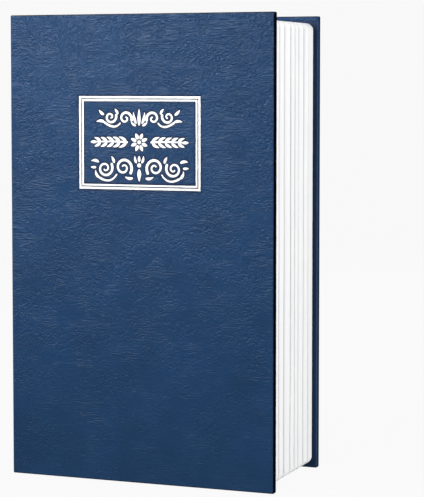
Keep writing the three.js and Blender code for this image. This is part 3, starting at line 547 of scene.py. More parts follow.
# %% Distance to the ornament and to the frame's rules
FRAME_HALF_WIDTH = 25.1
FRAME_BOTTOM = 113.1
FRAME_TOP = 148.7
TITLE_MIDDLE = (FRAME_TOP + FRAME_BOTTOM) / 2
OUTER_RULE = 0.82
RULE_GAP = 0.42
INNER_RULE = 0.66
rule_insets = [(0.0, OUTER_RULE), (OUTER_RULE + RULE_GAP, OUTER_RULE + RULE_GAP + INNER_RULE)]


def distance_to_strokes(x, z, strokes):
    """How far each place lies outside the nearest stroke, negative inside it."""
    nearest = np.full(x.shape, 1e3)
    for stroke in strokes:
        for (ax, az, a_half), (bx, bz, b_half) in zip(stroke, stroke[1:]):
            length = max((bx - ax) ** 2 + (bz - az) ** 2, 1e-9)
            share = np.clip(((x - ax) * (bx - ax) + (z - az) * (bz - az)) / length, 0, 1)
            away = np.hypot(x - ax - share * (bx - ax), z - az - share * (bz - az))
            nearest = np.minimum(nearest, away - a_half - share * (b_half - a_half))
    return nearest


def distance_to_rules(x, z):
    from_ends = (FRAME_TOP - FRAME_BOTTOM) / 2 - np.abs(z - TITLE_MIDDLE)
    depth = np.minimum(FRAME_HALF_WIDTH - np.abs(x), from_ends)
    return np.minimum.reduce([np.maximum(start - depth, depth - end) for start, end in rule_insets])


print("title frame:", 2 * FRAME_HALF_WIDTH, "by", round(FRAME_TOP - FRAME_BOTTOM, 1), "mm")

# %% [markdown]
# ## The covering on the boards
# On a real case the leatherette is one sheet, drawn over the boards' edges and turned in. Each board's
# part of it is made here as a shell: a grid over the outer face, the edges and the turned-in margin,
# rounded where it passes an edge, and thickened inwards by the Solidify modifier. The grid is fine only
# where the title is stamped and near the edges, because a fine grid all over would cost a million faces.

# %% A grid that is fine where it has to be
EDGE_LINES = (0.0, 0.16, 0.3, 0.42, 0.6)
EDGE_BAND = 0.9 * MM
LEAST_CELL = 0.02 * MM


def grid_lines(start, end, step, fine=()):
    """Positions from start to end, step apart, with edge lines at both ends and fine spans between."""
    lines = [start + share * MM for share in EDGE_LINES] + [end - share * MM for share in EDGE_LINES]
    count = int((end - start - 2 * EDGE_BAND) / step)
    for value in np.linspace(start + EDGE_BAND, end - EDGE_BAND, count + 1):
        if not any(span_low < value < span_high for span_low, span_high, _ in fine):
            lines.append(value)
    for span_low, span_high, fine_step in fine:
        lines += list(np.linspace(span_low, span_high, round((span_high - span_low) / fine_step) + 1))
    lines = sorted(round(value, 7) for value in lines)
    kept = lines[:1]
    for value in lines[1:]:
        if value - kept[-1] > LEAST_CELL:
            kept.append(value)
    return np.array(kept)


def side_cells(counts, axis, value):
    """Every cell on one side of a block of grid lines: four corners, as line numbers in u, v and w."""
    first, second = (other for other in range(3) if other != axis)
    a, b = np.meshgrid(np.arange(counts[first] - 1), np.arange(counts[second] - 1), indexing="ij")
    cells = np.full((a.size, 4, 3), value)
    for corner, (step_a, step_b) in enumerate([(0, 0), (1, 0), (1, 1), (0, 1)]):
        cells[:, corner, first] = a.ravel() + step_a
        cells[:, corner, second] = b.ravel() + step_b
    return cells


# %% [markdown]
# The wrap is worked out in the board's own terms: u across it, v up it and w inwards from its face. A
# point near an edge is pulled onto a ball of the edge's radius, which rounds edges and corners alike.

# %% Round a sheet where it passes a board's edge
EDGE_RADIUS = 0.5 * MM
DEPTH_LINES = np.array([0.0, 0.16, 0.3, 0.5, 1.25, 1.5, 2.5, 2.7, 2.84, 3.0]) / 3.0


def wrap_cells(lines, closed, window):
    """The cells over a board's face, its edges, and its inner face outside the window. A closed sheet
    also goes round the edges at both ends of u."""
    counts = [len(part) for part in lines]
    ends_of_u = [(0, 0), (0, counts[0] - 1)] if closed else []
    sides = [(2, 0), (1, 0), (1, counts[1] - 1), *ends_of_u, (2, counts[2] - 1)]
    cells = np.concatenate([side_cells(counts, axis, value) for axis, value in sides])
    middle_u, middle_v = (lines[axis][cells[:, :, axis]].mean(axis=1) for axis in (0, 1))
    bare = (cells[:, :, 2] == counts[2] - 1).all(axis=1) & window(middle_u, middle_v)
    return cells[~bare]


def rounded(u, v, w, lines, closed):
    """The same places, with those near an edge pulled onto its round."""
    u_lines, v_lines, w_lines = lines
    outer_half = w < w_lines[-1] / 2
    ball_u = np.clip(u, u_lines[0] + EDGE_RADIUS * (outer_half & closed), u_lines[-1] - EDGE_RADIUS * closed)
    ball_v = np.clip(v, v_lines[0] + EDGE_RADIUS, v_lines[-1] - EDGE_RADIUS)
    ball_w = np.clip(w, EDGE_RADIUS, w_lines[-1] - EDGE_RADIUS)
    reach = np.sqrt((u - ball_u) ** 2 + (v - ball_v) ** 2 + (w - ball_w) ** 2)
    pull = np.minimum(1.0, EDGE_RADIUS / np.maximum(reach, 1e-9))
    return (ball + (value - ball) * pull for value, ball in ((u, ball_u), (v, ball_v), (w, ball_w)))


# %% [markdown]
# The cloth is painted black along the head, fore-edge and tail, a painted shade, in a band on the face
# and down the edge to a set depth. The side by the joint is left as it is.

# %% Where the cloth is painted with shade
# Bands and fades of the painted shade along the edges, and the strip by the joint left without it.
EDGE_SHADE_WIDTH = 0.22 * MM
EDGE_SHADE_FADE = 0.25 * MM
EDGE_SHADE_DEPTH_FADE = 0.2 * MM
EDGE_START = 0.25 * MM
EDGE_END = 0.2 * MM
UNSHADED_SIDE_WIDTH = 0.3 * MM
DULL_FROM = 0.98


def fading(distance, start, width):
    """1 up to start, 0 beyond start + width."""
    return np.clip(1 - (distance - start) / width, 0, 1)


def rubbing(u, v, w, lines, closed, shaded_depth):
    """How black each point is painted, as shade, and whether its face is dull."""
    u_lines, v_lines, w_lines = lines
    depth = w_lines[-1]
    from_ends = np.minimum(v - v_lines[0], v_lines[-1] - v)
    side_shaded = ((w < depth / 2) | (shaded_depth >= depth)) & closed
    from_side = np.where(side_shaded, u_lines[-1] - u, 1.0)
    edge = fading(np.minimum(from_ends, from_side), EDGE_SHADE_WIDTH, EDGE_SHADE_FADE)
    on_edge = (w > EDGE_START) & (w < depth - EDGE_END)
    unshaded_side = on_edge & (u < u_lines[0] + UNSHADED_SIDE_WIDTH) & (from_ends > UNSHADED_SIDE_WIDTH)
    edge = np.where(on_edge, fading(w, shaded_depth, EDGE_SHADE_DEPTH_FADE), edge)
    edge = np.where(unshaded_side, 0.0, edge)
    return edge, (edge > DULL_FROM) | (on_edge & ~unshaded_side)


# %% Make a wrapped sheet
ON_FACE = 0.02 * MM


def new_mesh(name, corners, faces, outwards=True):
    mesh = bpy.data.meshes.new(name)
    mesh.from_pydata(corners, [], faces)
    if outwards:
        shell = bmesh.new()
        shell.from_mesh(mesh)
        bmesh.ops.recalc_face_normals(shell, faces=shell.faces)
        shell.to_mesh(mesh)
        shell.free()
    return mesh


def wrapped_sheet(name, board_lines, depth, place, sunk, closed, window, shaded_depth, inner_shade=None):
    """The mesh of a sheet over a board. place turns u, v and w into a position. sunk(u, v) gives the depth
    sunk into the face and how dark the painted shade round the stamp is. The depth given after window is how
    far down the edge the cloth is painted black as shade, and inner_shade(u, v) how dark the painted shade
    on the turned-in margin is."""
    lines = (*board_lines, DEPTH_LINES * depth)
    keys, faces = np.unique(wrap_cells(lines, closed, window).reshape(-1, 3), axis=0, return_inverse=True)
    faces = faces.reshape(-1, 4)
    u, v, w = rounded(*(lines[axis][keys[:, axis]] for axis in range(3)), lines, closed)
    sink, painted_shade = sunk(u, v)
    on_face = w < ON_FACE
    painted_shade = np.where(on_face, painted_shade, 0.0)
    if inner_shade:
        painted_shade = np.where(w > depth - ON_FACE, inner_shade(u, v), painted_shade)
    w = w + np.where(on_face, sink, 0.0)
    edge, dull = rubbing(u, v, w, lines, closed, shaded_depth)
    mesh = new_mesh(name, np.stack(place(u, v, w), axis=-1).tolist(), faces.tolist())
    for attribute, values in (("edge", edge), ("painted_shade", painted_shade)):
        mesh.attributes.new(attribute, "FLOAT", "POINT").data.foreach_set("value", values.astype(np.float32))
    mesh.shade_smooth()
    mesh.polygons.foreach_set("material_index", dull[faces].all(axis=1).astype(np.int32))
    return mesh


# %% [markdown]
# The sheet's thickness goes inwards. The modifier's sign depends on which way the faces point, so the
# script adds up how the outer faces point and flips the whole sheet if they point into the board.

# %% Thicken a sheet and put it on its board
SKIN = 0.4 * MM
OUTER_FROM = 25 * MM


def thicken(piece, thickness, offset=-1.0):
    """Give a sheet a thickness, behind its faces or, with no offset, on both sides."""
    solid = piece.modifiers.new("thickness", "SOLIDIFY")
    solid.thickness = thickness
    solid.offset = offset
    solid.use_even_offset = False


def add_piece(mesh, finish, body, solid=None):
    """Make a mesh a piece that rides on a body and the solid that it replaces."""
    mesh.materials.append(finish)
    piece = add_object(mesh.name, mesh)
    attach(piece, body)
    if solid:
        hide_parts(solid)
    print(piece.name, "faces:", len(mesh.polygons))
    return piece


def put_on_board(mesh, outward, body, solid):
    outward = Vector(outward)
    facing = sum(face.area * face.normal.dot(outward) for face in mesh.polygons
                 if (face.center - book_middle).dot(outward) > OUTER_FROM)
    if facing < 0:
        mesh.flip_normals()
    sheet = add_piece(mesh, leatherette, body, solid)
    mesh.materials.append(painted_edge_shade)
    thicken(sheet, SKIN)


# %% [markdown]
# Pressed depth on the covers: the stamped title, a slight ease along the spine side, where the board is
# thinned so that the joint bends, and a faint unevenness of the paste under the sheet.

# %% Depth pressed into the covers
STAMP_DEPTH = 0.10
STAMP_MARGIN = 0.12
STAMP_SLOPE = 0.16
# Reach and fade of the painted shade round the stamp.
STAMP_SHADE_REACH = 0.42
STAMP_SHADE_FADE = 0.2
EASE_WIDTH = 1.9 * MM
EASE_DEPTH = 0.16
PASTE_DEPTH = 0.035
PASTE_WAVES = (90, 140)


def paste_unevenness(u, v, seed):
    values = [noise.noise(Vector((a * PASTE_WAVES[0], b * PASTE_WAVES[1], seed))) for a, b in zip(u, v)]
    return (np.array(values) * 0.5 + 0.5) * PASTE_DEPTH


def level_at_ends(values, lines):
    """0 within half a millimetre of the first and the last line, and 1 from one and a half."""
    return np.clip(np.minimum(values - lines[0], lines[-1] - values) / MM - 0.5, 0, 1)


def board_depth(u, v, lines, seed, stamped=0.0):
    depth = np.maximum(paste_unevenness(u, v, seed), stamped)
    depth += fading(u - low.x, 0.0, EASE_WIDTH) ** 2 * EASE_DEPTH
    return depth * np.minimum(level_at_ends(u, lines[0]), level_at_ends(v, lines[1])) * MM


def front_depth(u, v):
    x, z = u / MM, v / MM
    distance = np.minimum(distance_to_strokes(x, z, ornament_strokes), distance_to_rules(x, z))
    stamped = fading(distance, STAMP_MARGIN, STAMP_SLOPE) * STAMP_DEPTH
    # The second value is a painted shade round the stamp, beside the foil.
    return board_depth(u, v, front_lines, 1.0, stamped), fading(distance, STAMP_SHADE_REACH, STAMP_SHADE_FADE)


def back_depth(u, v):
    return board_depth(u, v, back_lines, 7.0), np.zeros(u.shape)


# %% Cover the two boards
TURN_IN = 14 * MM
FRONT_CELL = 2.7 * MM
BACK_CELL = 1.4 * MM
TITLE_CELL = 0.32 * MM
BACK_SHADED_DEPTH = 1.35 * MM
# Width and fade of the painted shade beside the page block.
CONTACT_SHADE_WIDTH = 0.95 * MM
CONTACT_SHADE_FADE = 0.5 * MM
front_low, front_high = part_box("front_leatherette")
back_low, back_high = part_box("back_leatherette")
cover_depth = front_high.y - front_low.y
ease_across = (front_low.x + EDGE_BAND, front_low.x + 2.4 * MM, 0.3 * MM)
title_across, title_up = (-25.6 * MM, 25.6 * MM, TITLE_CELL), (112.6 * MM, 149.2 * MM, TITLE_CELL)
front_lines = (grid_lines(front_low.x, front_high.x, FRONT_CELL, [ease_across, title_across]),
               grid_lines(front_low.z, front_high.z, FRONT_CELL, [title_up]))
back_lines = (grid_lines(back_low.x, back_high.x, BACK_CELL), grid_lines(back_low.z, back_high.z, BACK_CELL))


def bare_board(u, v):
    """The turned-in margin runs round the head, fore-edge and tail, and not along the spine."""
    return (u < front_high.x - TURN_IN) & (v > front_low.z + TURN_IN) & (v < front_high.z - TURN_IN)


def glue_line(u, v):
    """Painted shade along the page block, where it meets the back board's turned-in margin."""
    pages_low, pages_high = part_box("page_block")
    beyond_ends = np.maximum(pages_low.z - v, v - pages_high.z) + CONTACT_SHADE_FADE
    return fading(np.maximum(u - pages_high.x, beyond_ends), CONTACT_SHADE_WIDTH, CONTACT_SHADE_FADE)


front_sheet = wrapped_sheet("front_covering", front_lines, cover_depth,
                            lambda u, v, w: (u, front_low.y + w, v), front_depth,
                            True, bare_board, cover_depth)
put_on_board(front_sheet, (0, -1, 0), "front_cover", "front_leatherette")
back_sheet = wrapped_sheet("back_covering", back_lines, cover_depth,
                           lambda u, v, w: (u, back_high.y - w, v), back_depth,
                           True, bare_board, BACK_SHADED_DEPTH, glue_line)
put_on_board(back_sheet, (0, 1, 0), "book_case", "back_leatherette")

# %% [markdown]
# The spine's part of the sheet runs over the head and tail of the spine board and ends at the joints. On
# the back side it goes on over the joint to the back cover, where nothing moves. On the front side it
# stops short, and a strip of its own covers the joint there.

# %% Cover the spine
SPINE_LINES = 36
SPINE_CELL = 1.6 * MM
spine_low, spine_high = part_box("spine_leatherette")
spine_board_low, spine_board_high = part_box("spine_board")
spine_depth = spine_high.x - spine_low.x
spine_lines = (np.linspace(spine_board_low.y, spine_board_high.y, SPINE_LINES),
               grid_lines(spine_low.z, spine_high.z, SPINE_CELL))


def spine_sink(u, v):
    return paste_unevenness(u, v, 4.0) * level_at_ends(v, spine_lines[1]) * MM, np.zeros(u.shape)


def bare_spine(u, v):
    return (v > spine_low.z + TURN_IN) & (v < spine_high.z - TURN_IN)


spine_sheet = wrapped_sheet("spine_covering", spine_lines, spine_depth,
                            lambda u, v, w: (spine_low.x + w, u, v), spine_sink,
                            False, bare_spine, spine_depth)
put_on_board(spine_sheet, (-1, 0, 0), "book_case", "spine_leatherette")

# %% [markdown]
# ## The joints
# Between the spine and each cover the sheet has nothing behind it, so that it can fold. Each strip is a
# thin slab with a shallow groove along it, made by repeating its section from tail to head. The back one
# never moves and rides on the case. The front one is made in place and rides on no body.

# %% Joint strips
JOINT_STEPS = 8
JOINT_ROWS = 60
JOINT_GROOVE = 0.12 * MM


def swept_faces(rings, count, closed=False):
    """Quads between neighbouring rings of count points, and from the last ring to the first if closed."""
    faces = []
    for ring in range(rings if closed else rings - 1):
        here, there = ring * count, (ring + 1) % rings * count
        for point in range(count):
            following = (point + 1) % count
            faces.append((here + point, here + following, there + following, there + point))
    return faces


def joint_strip(name, y_start, y_end):
    section = []
    for layer in (0, 1):
        for share in shares(JOINT_STEPS):
            groove = JOINT_GROOVE * math.sin(math.pi * share) ** 2
            section.append((spine_low.x + groove + layer * (SKIN - JOINT_GROOVE),
                            y_start + (y_end - y_start) * abs(layer - share)))
    count = len(section)
    corners = [(x, y, z) for z in np.linspace(spine_low.z, spine_high.z, JOINT_ROWS + 1) for x, y in section]
    faces = swept_faces(JOINT_ROWS + 1, count)
    for first in (0, JOINT_ROWS * count):
        last = first + count - 1
        faces += [(first + i, first + i + 1, last - i - 1, last - i) for i in range(JOINT_STEPS)]
    mesh = new_mesh(name, corners, faces)
    mesh.materials.append(leatherette)
    strip = add_object(name, mesh)
    return strip


front_joint = joint_strip("front_joint", spine_board_low.y, front_high.y)
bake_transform(front_joint)
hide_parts("front_joint_strip")
back_joint = joint_strip("back_joint", spine_board_high.y, back_low.y)
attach(back_joint, "book_case")
print("joint width:", round((spine_board_low.y - front_high.y) / MM, 2), "mm")

# %% [markdown]
# ## Foil
# The title is white and silver hot foil. In a white studio metal foil mirrors its surroundings and looks
# white, so the finish is partly metal with a fairly rough surface, greyer in specks, and more so at the
# frame's left end.

# %% The foil's finish
FOIL_SINK = 0.04
FOIL_THICKNESS = 0.05


def foil_finish():
    silver = Finish("silver_foil", roughness=0.42, metallic=0.35, specular=0.5)
    speck = silver.noise(1.9, detail=4.0, roughness=0.7)
    across = silver.node("SeparateXYZ", {0: silver.places()}).outputs["X"]
    left_end = silver.smooth_step(across, -24.6, -25.1)
    greyed = silver.calculate("MULTIPLY", left_end, silver.smooth_step(speck, 0.42, 0.6, 0.0, 0.7))
    colour = silver.mix(greyed, srgb(252, 252, 252), srgb(96, 112, 136))
    cloth = silver.noise((1.2, 1.2, 3.0))
    return silver.dress(silver.mix(silver.smooth_step(speck, 0.69, 0.76), colour, srgb(120, 138, 160)),
                        silver.bump(cloth, 0.02 * MM, 0.4))


foil = foil_finish()
print("foil nodes:", len(foil.node_tree.nodes))

# %% [markdown]
# The frame's rules are flat rings with mitred corners. Their sides are divided, so that they can waver
# slightly, as foil does on cloth.

# %% Cut the foil's frame
RULE_STEPS = 40
RULE_WAVER = 0.025
RULE_WAVES = 1.3


def rule_loop(inset):
    """One edge of a rule, as x and z, from the lower left corner round to it again."""
    half, bottom, top = FRAME_HALF_WIDTH - inset, FRAME_BOTTOM + inset, FRAME_TOP - inset
    square = [(-half, bottom), (half, bottom), (half, top), (-half, top)]
    loop = []
    for (ax, az), (bx, bz) in zip(square, square[1:] + square[:1]):
        for share in shares(RULE_STEPS)[:-1]:
            x, z = ax + share * (bx - ax), az + share * (bz - az)
            waver = RULE_WAVER * noise.noise(Vector((x, z, inset)) * RULE_WAVES)
            loop.append((x + waver, z + waver))
    return loop


for number, insets in enumerate(rule_insets, start=1):
    front = front_low.y / MM + FOIL_SINK
    back = front + FOIL_THICKNESS
    corners = []
    for (ox, oz), (ix, iz) in zip(*(rule_loop(inset) for inset in insets)):
        corners += [(ox, front, oz), (ox, back, oz), (ix, back, iz), (ix, front, iz)]
    corners = [(x * MM, y * MM, z * MM) for x, y, z in corners]
    faces = swept_faces(len(corners) // 4, 4, closed=True)
    ring = new_mesh(f"foil_rule_{number}", corners, faces, outwards=False)
    add_piece(ring, foil, "front_cover")

# %% [markdown]
# The ornament is cut from the distance field by marching squares, which walks round each small cell's
# four corners. A corner inside a stroke is kept, and where the sign changes along a side, the crossing is
# found by simple proportion. The kept points, in order, are the cell's polygon. Sides shared with a
# neighbour give the same point, so the cells weld together.

# %% Cut the foil's ornament
ORNAMENT_CELL = 0.15


def field_outline(x_lines, z_lines, field):
    """Polygons of the part of a grid where the field is below zero."""
    places, faces, known = [], [], {}

    def point(key, x, z):
        if key not in known:
            known[key] = len(places)
            places.append((x, z))
        return known[key]

    inside = field < 0
    touched = inside[:-1, :-1] | inside[1:, :-1] | inside[1:, 1:] | inside[:-1, 1:]
    for i, j in zip(*np.nonzero(touched)):
        ring = [(i, j), (i + 1, j), (i + 1, j + 1), (i, j + 1)]
        face = []
        for here, there in zip(ring, ring[1:] + ring[:1]):
            (a, b), (c, d) = here, there
            if inside[here]:
                face.append(point(here, x_lines[a], z_lines[b]))
            if inside[here] != inside[there]:
                share = field[here] / (field[here] - field[there])
                x = x_lines[a] + share * (x_lines[c] - x_lines[a])
                z = z_lines[b] + share * (z_lines[d] - z_lines[b])
                face.append(point((min(here, there), max(here, there)), x, z))
        if len(face) > 2:
            faces.append(face)
    return places, faces


def ornament_foil(name, strokes):
    points = np.array([point for stroke in strokes for point in stroke])
    reach = (np.abs(points[:, 0]) + points[:, 2]).max() + ORNAMENT_CELL
    bottom = (points[:, 1] - points[:, 2]).min() - ORNAMENT_CELL
    top = (points[:, 1] + points[:, 2]).max() + ORNAMENT_CELL
    x_lines = np.arange(-reach, reach, ORNAMENT_CELL)
    z_lines = np.arange(bottom, top, ORNAMENT_CELL)
    x, z = np.meshgrid(x_lines, z_lines, indexing="ij")
    places, faces = field_outline(x_lines, z_lines, distance_to_strokes(x, z, strokes))
    corners = [(x * MM, front_low.y + FOIL_SINK * MM, z * MM) for x, z in places]
    mesh = new_mesh(name, corners, faces, outwards=False)
    thicken(add_piece(mesh, foil, "front_cover"), FOIL_THICKNESS * MM)


for name, strokes in ornament.items():
    ornament_foil(name, strokes)

# %% [markdown]
# ## The page block
# What looks like pages is one moulding: a frame whose head, fore-edge and tail are ribbed in uneven
# groups of leaves. The solid carries the groups. Here they are swept again with more steps, the grooves
# waver a little from place to place as real leaves do, and the finish adds the single leaves as fine
# lines. The frame is swept through stations round the block, and each station holds the whole section.

# %% Stations round the page block
TRAY_CLEARANCE = 0.25 * MM
BLOCK_CORNER = 2.8 * MM
CORNER_STEPS = 16
RIB_FADE = 2 * MM
STATION_SPACING = 3.5 * MM
block_low, block_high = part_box("page_block")
tray_low, tray_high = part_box("box_tray")


def between(start, end, share):
    return tuple(a + (b - a) * share for a, b in zip(start, end))


def block_stations():
    """Outer point, outward direction, inner point and rib share, from the spine along the tail, fore-edge
    and head back to the spine."""
    left, right, bottom, top = block_low.x, block_high.x, block_low.z, block_high.z
    inner_left, inner_right = tray_low.x - TRAY_CLEARANCE, tray_high.x + TRAY_CLEARANCE
    inner_bottom, inner_top = tray_low.z - TRAY_CLEARANCE, tray_high.z + TRAY_CLEARANCE
    turn_x, turn_bottom, turn_top = right - BLOCK_CORNER, bottom + BLOCK_CORNER, top - BLOCK_CORNER
    stations = []

    def straight(start, end, inner_start, inner_end, out):
        for share in shares(int(math.dist(start, end) / STATION_SPACING)):
            at, inner = between(start, end, share), between(inner_start, inner_end, share)
            stations.append((at, out, inner, min((at[0] - left) / RIB_FADE, 1.0)))

    def corner(centre_z, inner, start):
        for share in shares(CORNER_STEPS)[1:-1]:
            angle = math.radians(start + 90 * share)
            at, out = at_angle(turn_x, centre_z, BLOCK_CORNER, angle), at_angle(0.0, 0.0, 1.0, angle)
            stations.append((at, out, inner, 1.0))

    inner_tail, inner_head = (inner_right, inner_bottom), (inner_right, inner_top)
    straight((left, bottom), (turn_x, bottom), (inner_left, inner_bottom), inner_tail, (0.0, -1.0))
    corner(turn_bottom, inner_tail, -90)
    straight((right, turn_bottom), (right, turn_top), inner_tail, inner_head, (1.0, 0.0))
    corner(turn_top, inner_head, 0)
    straight((turn_x, top), (left, top), inner_head, (inner_left, inner_top), (0.0, 1.0))
    return stations


stations = block_stations()
print("stations:", len(stations))

# %% The ribs' section
GROUP_SHARES = (0.65, 0.73, 1.11, 1.43, 0.89, 0.81, 1.19, 1.07, 1.12)
GROUP_STEPS = 14
GROOVE_DEPTH = 0.55 * MM
GROOVE_WAVER = 0.5 * MM
GROOVE_WAVES, SHADE_WAVES = 28, 9
CORNER_FADE = 1.7


def rib_section(distance):
    """Depth y, sink and shade of the ribs at a distance round the block. The grooves waver along it."""
    front, back = block_low.y, block_high.y
    grooves = [front]
    for share in GROUP_SHARES:
        grooves.append(grooves[-1] + (back - front) * share / sum(GROUP_SHARES))
    for k in range(1, len(GROUP_SHARES)):
        grooves[k] += GROOVE_WAVER * noise.noise(Vector((distance * GROOVE_WAVES, 3.1 * k, 0.5)))
    shades = [0.75 + 0.5 * noise.noise(Vector((distance * SHADE_WAVES, 5.3 * k, 8.5)))
              for k in range(len(grooves))]
    section = []
    for k, (start, end) in enumerate(zip(grooves, grooves[1:])):
        for t in shares(GROUP_STEPS)[:-1]:
            near = shades[k] if t < 0.5 else shades[k + 1]
            aside = abs(2 * t - 1)
            section.append((start + t * (end - start), GROOVE_DEPTH * aside ** 4, near * aside ** 5))
    return section + [(back, GROOVE_DEPTH, 0.0)]


print("leaf groups:", len(GROUP_SHARES))

# %% [markdown]
# The moulding's finish is an off-white plastic. Fine lines in the depth direction stand for the single
# leaves, three or four to a millimetre, and a soft noise keeps them from looking ruled. Between the groups
# the grooves are painted grey, a painted shade with a little dust, which the attribute named groove brings
# with the shape. It is painted fainter round the corners, where more light falls.

# %% Sweep the page block
def page_finish():
    pages = Finish("page_moulding", roughness=0.62, specular=0.3)
    leaves = pages.noise((0.02, 3.4, 0.02), roughness=0.6)
    blotch = pages.smooth_step(pages.noise(0.05), 0.35, 0.65)
    white = pages.mix(blotch, srgb(248, 248, 247), srgb(245, 246, 247))
    leafy = pages.mix(pages.smooth_step(leaves, 0.36, 0.6), srgb(240, 240, 240), white)
    # Grey in the grooves: painted shade, with a little dust.
    groove = pages.smooth_step(pages.attribute("groove"), 0.04, 0.7)
    return pages.dress(pages.mix(groove, leafy, srgb(176, 178, 182)), pages.bump(leaves, 0.05 * MM, 0.35))


def make_page_block():
    corners, shades, travelled, previous = [], [], 0.0, stations[0][0]
    for at, out, inner, rib in stations:
        travelled += math.dist(at, previous)
        previous = at
        for y, sink, shade in rib_section(travelled):
            corners.append((at[0] - out[0] * sink * rib, y, at[1] - out[1] * sink * rib))
            # The grooves' painted shade fades round the corners, where the light from above falls on them.
            shades.append(shade * rib * (1 - CORNER_FADE * abs(out[0] * out[1])))
        corners += [(inner[0], y, inner[1]) for y in (block_high.y, block_low.y)]
        shades += [0.0, 0.0]
    faces = swept_faces(len(stations), len(corners) // len(stations), closed=True)
    mesh = new_mesh("page_edges", corners, faces)
    mesh.attributes.new("groove", "FLOAT", "POINT").data.foreach_set("value", shades)
    mesh.shade_smooth()
    mesh.set_sharp_from_angle(angle=math.radians(50))
    add_piece(mesh, page_finish(), "book_case", "page_block")


make_page_block()

# %% [markdown]
# ## Finishes for the solids that stay
# The boards, papers, steel sheets, lock housings and metal parts have the right shape already, so they
# keep their solids and get a finish each. Most are alike in kind: two near shades mixed by a noise, and a
# grain that gives a slight relief and varies the gloss. Powder coat is thick paint that melts on the
# steel and keeps a fine orange peel. The lock's plastic has the even texture of a spark-eroded mould.
# Both are near-black, and what tells them apart is the size of that texture and how sharp the highlights
# are. The endpaper has a fibre and also soft clouds, so it has a tree of its own.

# %% Finishes of two shades and a grain
def grained_finish(name, dark, light, tint, grain=None, relief=None, gloss=None, **settings):
    """tint and grain are noises, as scale, detail and roughness. Without a grain the tint serves for both.
    relief is a depth in millimetres and a strength, and gloss the least and the most roughness."""
    finish = Finish(name, **settings)
    shade = finish.noise(*tint)
    height = finish.noise(*grain) if grain else shade
    normal = finish.bump(height, relief[0] * MM, relief[1]) if relief else None
    roughness = finish.smooth_step(height, 0.3, 0.7, *gloss) if gloss else None
    return finish.dress(finish.mix(shade, srgb(*dark), srgb(*light)), normal, roughness)


def endpaper_finish():
    paper = Finish("endpaper", roughness=0.85, specular=0.15)
    fibre = paper.noise(0.9, detail=6.0, roughness=0.75)
    cloud = paper.smooth_step(paper.noise(0.04, detail=3.0), 0.35, 0.65)
    colour = paper.mix(cloud, paper.mix(fibre, srgb(40, 58, 84), srgb(56, 76, 104)), srgb(47, 66, 92))
    return paper.dress(colour, paper.bump(fibre, 0.02 * MM, 0.5))


METAL = {"relief": (0.01, 0.5), "gloss": (0.23, 0.39), "roughness": 0.3, "metallic": 1.0}
finishes = {
    "leatherette": leatherette,
    "greyboard": grained_finish("greyboard", (140, 132, 118), (176, 168, 152), ((1.5, 1.5, 3.5), 4.0, 0.7),
                                relief=(0.06, 1.0), roughness=0.95, specular=0.1),
    "endpaper": endpaper_finish(),
    "box_paint": grained_finish("powder_coat", (30, 31, 34), (40, 41, 44), (0.03, 3.0), (1.6, 2.0),
                                (0.05, 0.6), (0.36, 0.5), roughness=0.42, specular=0.4),
    "lock_plastic": grained_finish("lock_plastic", (26, 26, 28), (33, 33, 35), (0.18, 2.0), (5.5, 3.0, 0.6),
                                   (0.05, 0.9), (0.44, 0.6), specular=0.35),
    "dial_plastic": grained_finish("dial_plastic", (238, 236, 230), (245, 244, 240), (0.9, 3.0),
                                   specular=0.35),
    "plated_steel": grained_finish("plated_steel", (168, 172, 176), (206, 208, 210),
                                   ((3, 3, 9), 3.0, 0.6), **METAL),
    "sleeve_brass": grained_finish("sleeve_brass", (176, 140, 78), (214, 180, 110),
                                   ((2, 2, 10), 3.0, 0.6), **METAL),
}
print("finishes:", ", ".join(sorted(finishes)))

# %% [markdown]
# The record names a material slot for every solid, so the table from slot to finish dresses them all.

# %% Dress the solids
for subpart in frame["record"]["subparts"]:
    solid = frame["nodes"][subpart["node"]]
    finish = finishes.get(subpart["material_slot"])
    if finish and not solid.hide_render:
        solid.data.materials.clear()
        solid.data.materials.append(finish)
print("solids that show:", sum(not solid.hide_render for solid in frame["nodes"].values()))

# %% [markdown]
# ## Numerals on the dials
# Each dial carries ten numerals in black, hot-stamped on the white rim. Text objects give the outlines
# of plain figures from Blender's own font. Each is turned into a mesh, its long edges are divided, and its
# points are wrapped round the dial, so that it is a curved film and not a flat label.

# %% Outline a numeral
NUMERAL_HEIGHT = 2.9 * MM
NUMERAL_WIDENING = 1.06
NUMERAL_BOLDNESS = 0.018
NUMERAL_FILM = 0.03 * MM
LONGEST_EDGE = 0.35 * MM
DIGITS = 10
ink = grained_finish("numeral_ink", (14, 14, 15), (30, 30, 32), (2.5, 3.0), roughness=0.45, specular=0.4)


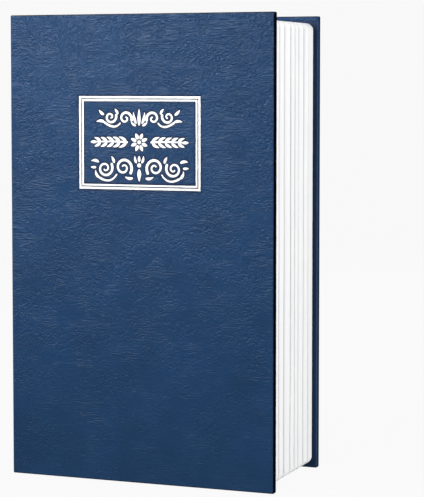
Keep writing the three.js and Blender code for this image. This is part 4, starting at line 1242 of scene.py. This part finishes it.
def flat_figure(character):
    """Points and triangles of a figure, its middle at the origin, NUMERAL_HEIGHT tall."""
    text = bpy.data.curves.new("figure", "FONT")
    text.body = character
    text.size = 1.0
    text.offset = NUMERAL_BOLDNESS
    text.resolution_u = 6
    holder = add_object("figure", text)
    bpy.context.view_layer.update()
    mesh = bpy.data.meshes.new_from_object(holder.evaluated_get(bpy.context.evaluated_depsgraph_get()))
    bpy.data.objects.remove(holder)
    bpy.data.curves.remove(text)
    points = np.array([vertex.co[:2] for vertex in mesh.vertices])
    lowest, highest = points.min(axis=0), points.max(axis=0)
    scale = NUMERAL_HEIGHT / (highest[1] - lowest[1])
    points = (points - (lowest + highest) / 2) * scale * (NUMERAL_WIDENING, 1.0)
    shell = bmesh.new()
    shell.from_mesh(mesh)
    bpy.data.meshes.remove(mesh)
    for vertex, (x, y) in zip(shell.verts, points):
        vertex.co = (x, y, 0.0)
    bmesh.ops.subdivide_edges(shell, edges=[e for e in shell.edges if e.calc_length() > LONGEST_EDGE], cuts=2)
    bmesh.ops.triangulate(shell, faces=shell.faces)
    shell.verts.index_update()
    flat = [vertex.co[:2] for vertex in shell.verts]
    triangles = [[vertex.index for vertex in face.verts] for face in shell.faces]
    shell.free()
    return flat, triangles


# %% [markdown]
# The windows show a 0 with the 9 to its right, so the figures count the other way round the dial.

# %% Wrap the numerals round the dials
def dial_axis(index):
    """A dial's middle and its radius."""
    dial_low, dial_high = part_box(f"dial_{index}")
    return (dial_low + dial_high) / 2, (dial_high.x - dial_low.x) / 2


def dial_numerals(index):
    centre, radius = dial_axis(index)
    radius += NUMERAL_FILM
    corners, faces = [], []
    for digit in range(DIGITS):
        points, triangles = flat_figure(str(digit))
        faces += [[len(corners) + corner for corner in triangle] for triangle in triangles]
        for x, y in points:
            angle = x / radius - math.radians(90 + 360 / DIGITS * digit)
            corners.append((*at_angle(centre.x, centre.y, radius, angle), centre.z + y))
    mesh = new_mesh(f"numerals_{index}", corners, faces)
    mesh.shade_smooth()
    thicken(add_piece(mesh, ink, f"dial_wheel_{index}"), NUMERAL_FILM * 2, offset=0.0)


for index in (1, 2, 3):
    dial_numerals(index)

# %% [markdown]
# ## Index marks
# Beside each dial the white index strip has a tab with one short black dash, which points at the number
# that is set. The dash is a narrow band that follows the tab's curve, with round ends.

# %% Index dashes
DASH_FROM = math.radians(-133)
DASH_TO = math.radians(-119)
DASH_HALF_HEIGHT = 0.22 * MM
DASH_FILM = 0.02 * MM
DASH_STEPS = 12
TAB_FRONT = 0.5 * MM


def tab_radius(centre):
    """The tabs' outer radius: how far the strip's foremost points lie from the dial's axis."""
    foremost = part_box("index_strip")[0].y + TAB_FRONT
    return max(math.hypot(vertex.co.x - centre.x, vertex.co.y - centre.y)
               for vertex in frame["nodes"]["index_strip"].data.vertices if vertex.co.y < foremost)


def index_dash(index):
    centre, _ = dial_axis(index)
    radius = tab_radius(centre)
    corners = []
    for share in shares(DASH_STEPS):
        angle = DASH_FROM + (DASH_TO - DASH_FROM) * share
        half = DASH_HALF_HEIGHT * math.sqrt(max(1 - (2 * share - 1) ** 8, 0.02))
        for film, side in ((DASH_FILM, -1), (-DASH_FILM, -1), (-DASH_FILM, 1), (DASH_FILM, 1)):
            corners.append((*at_angle(centre.x, centre.y, radius + film, angle), centre.z + side * half))
    last = 4 * DASH_STEPS
    faces = swept_faces(DASH_STEPS + 1, 4) + [(0, 3, 2, 1), (last, last + 1, last + 2, last + 3)]
    add_piece(new_mesh(f"index_dash_{index}", corners, faces, outwards=False), ink, "door")


for index in (1, 2, 3):
    index_dash(index)
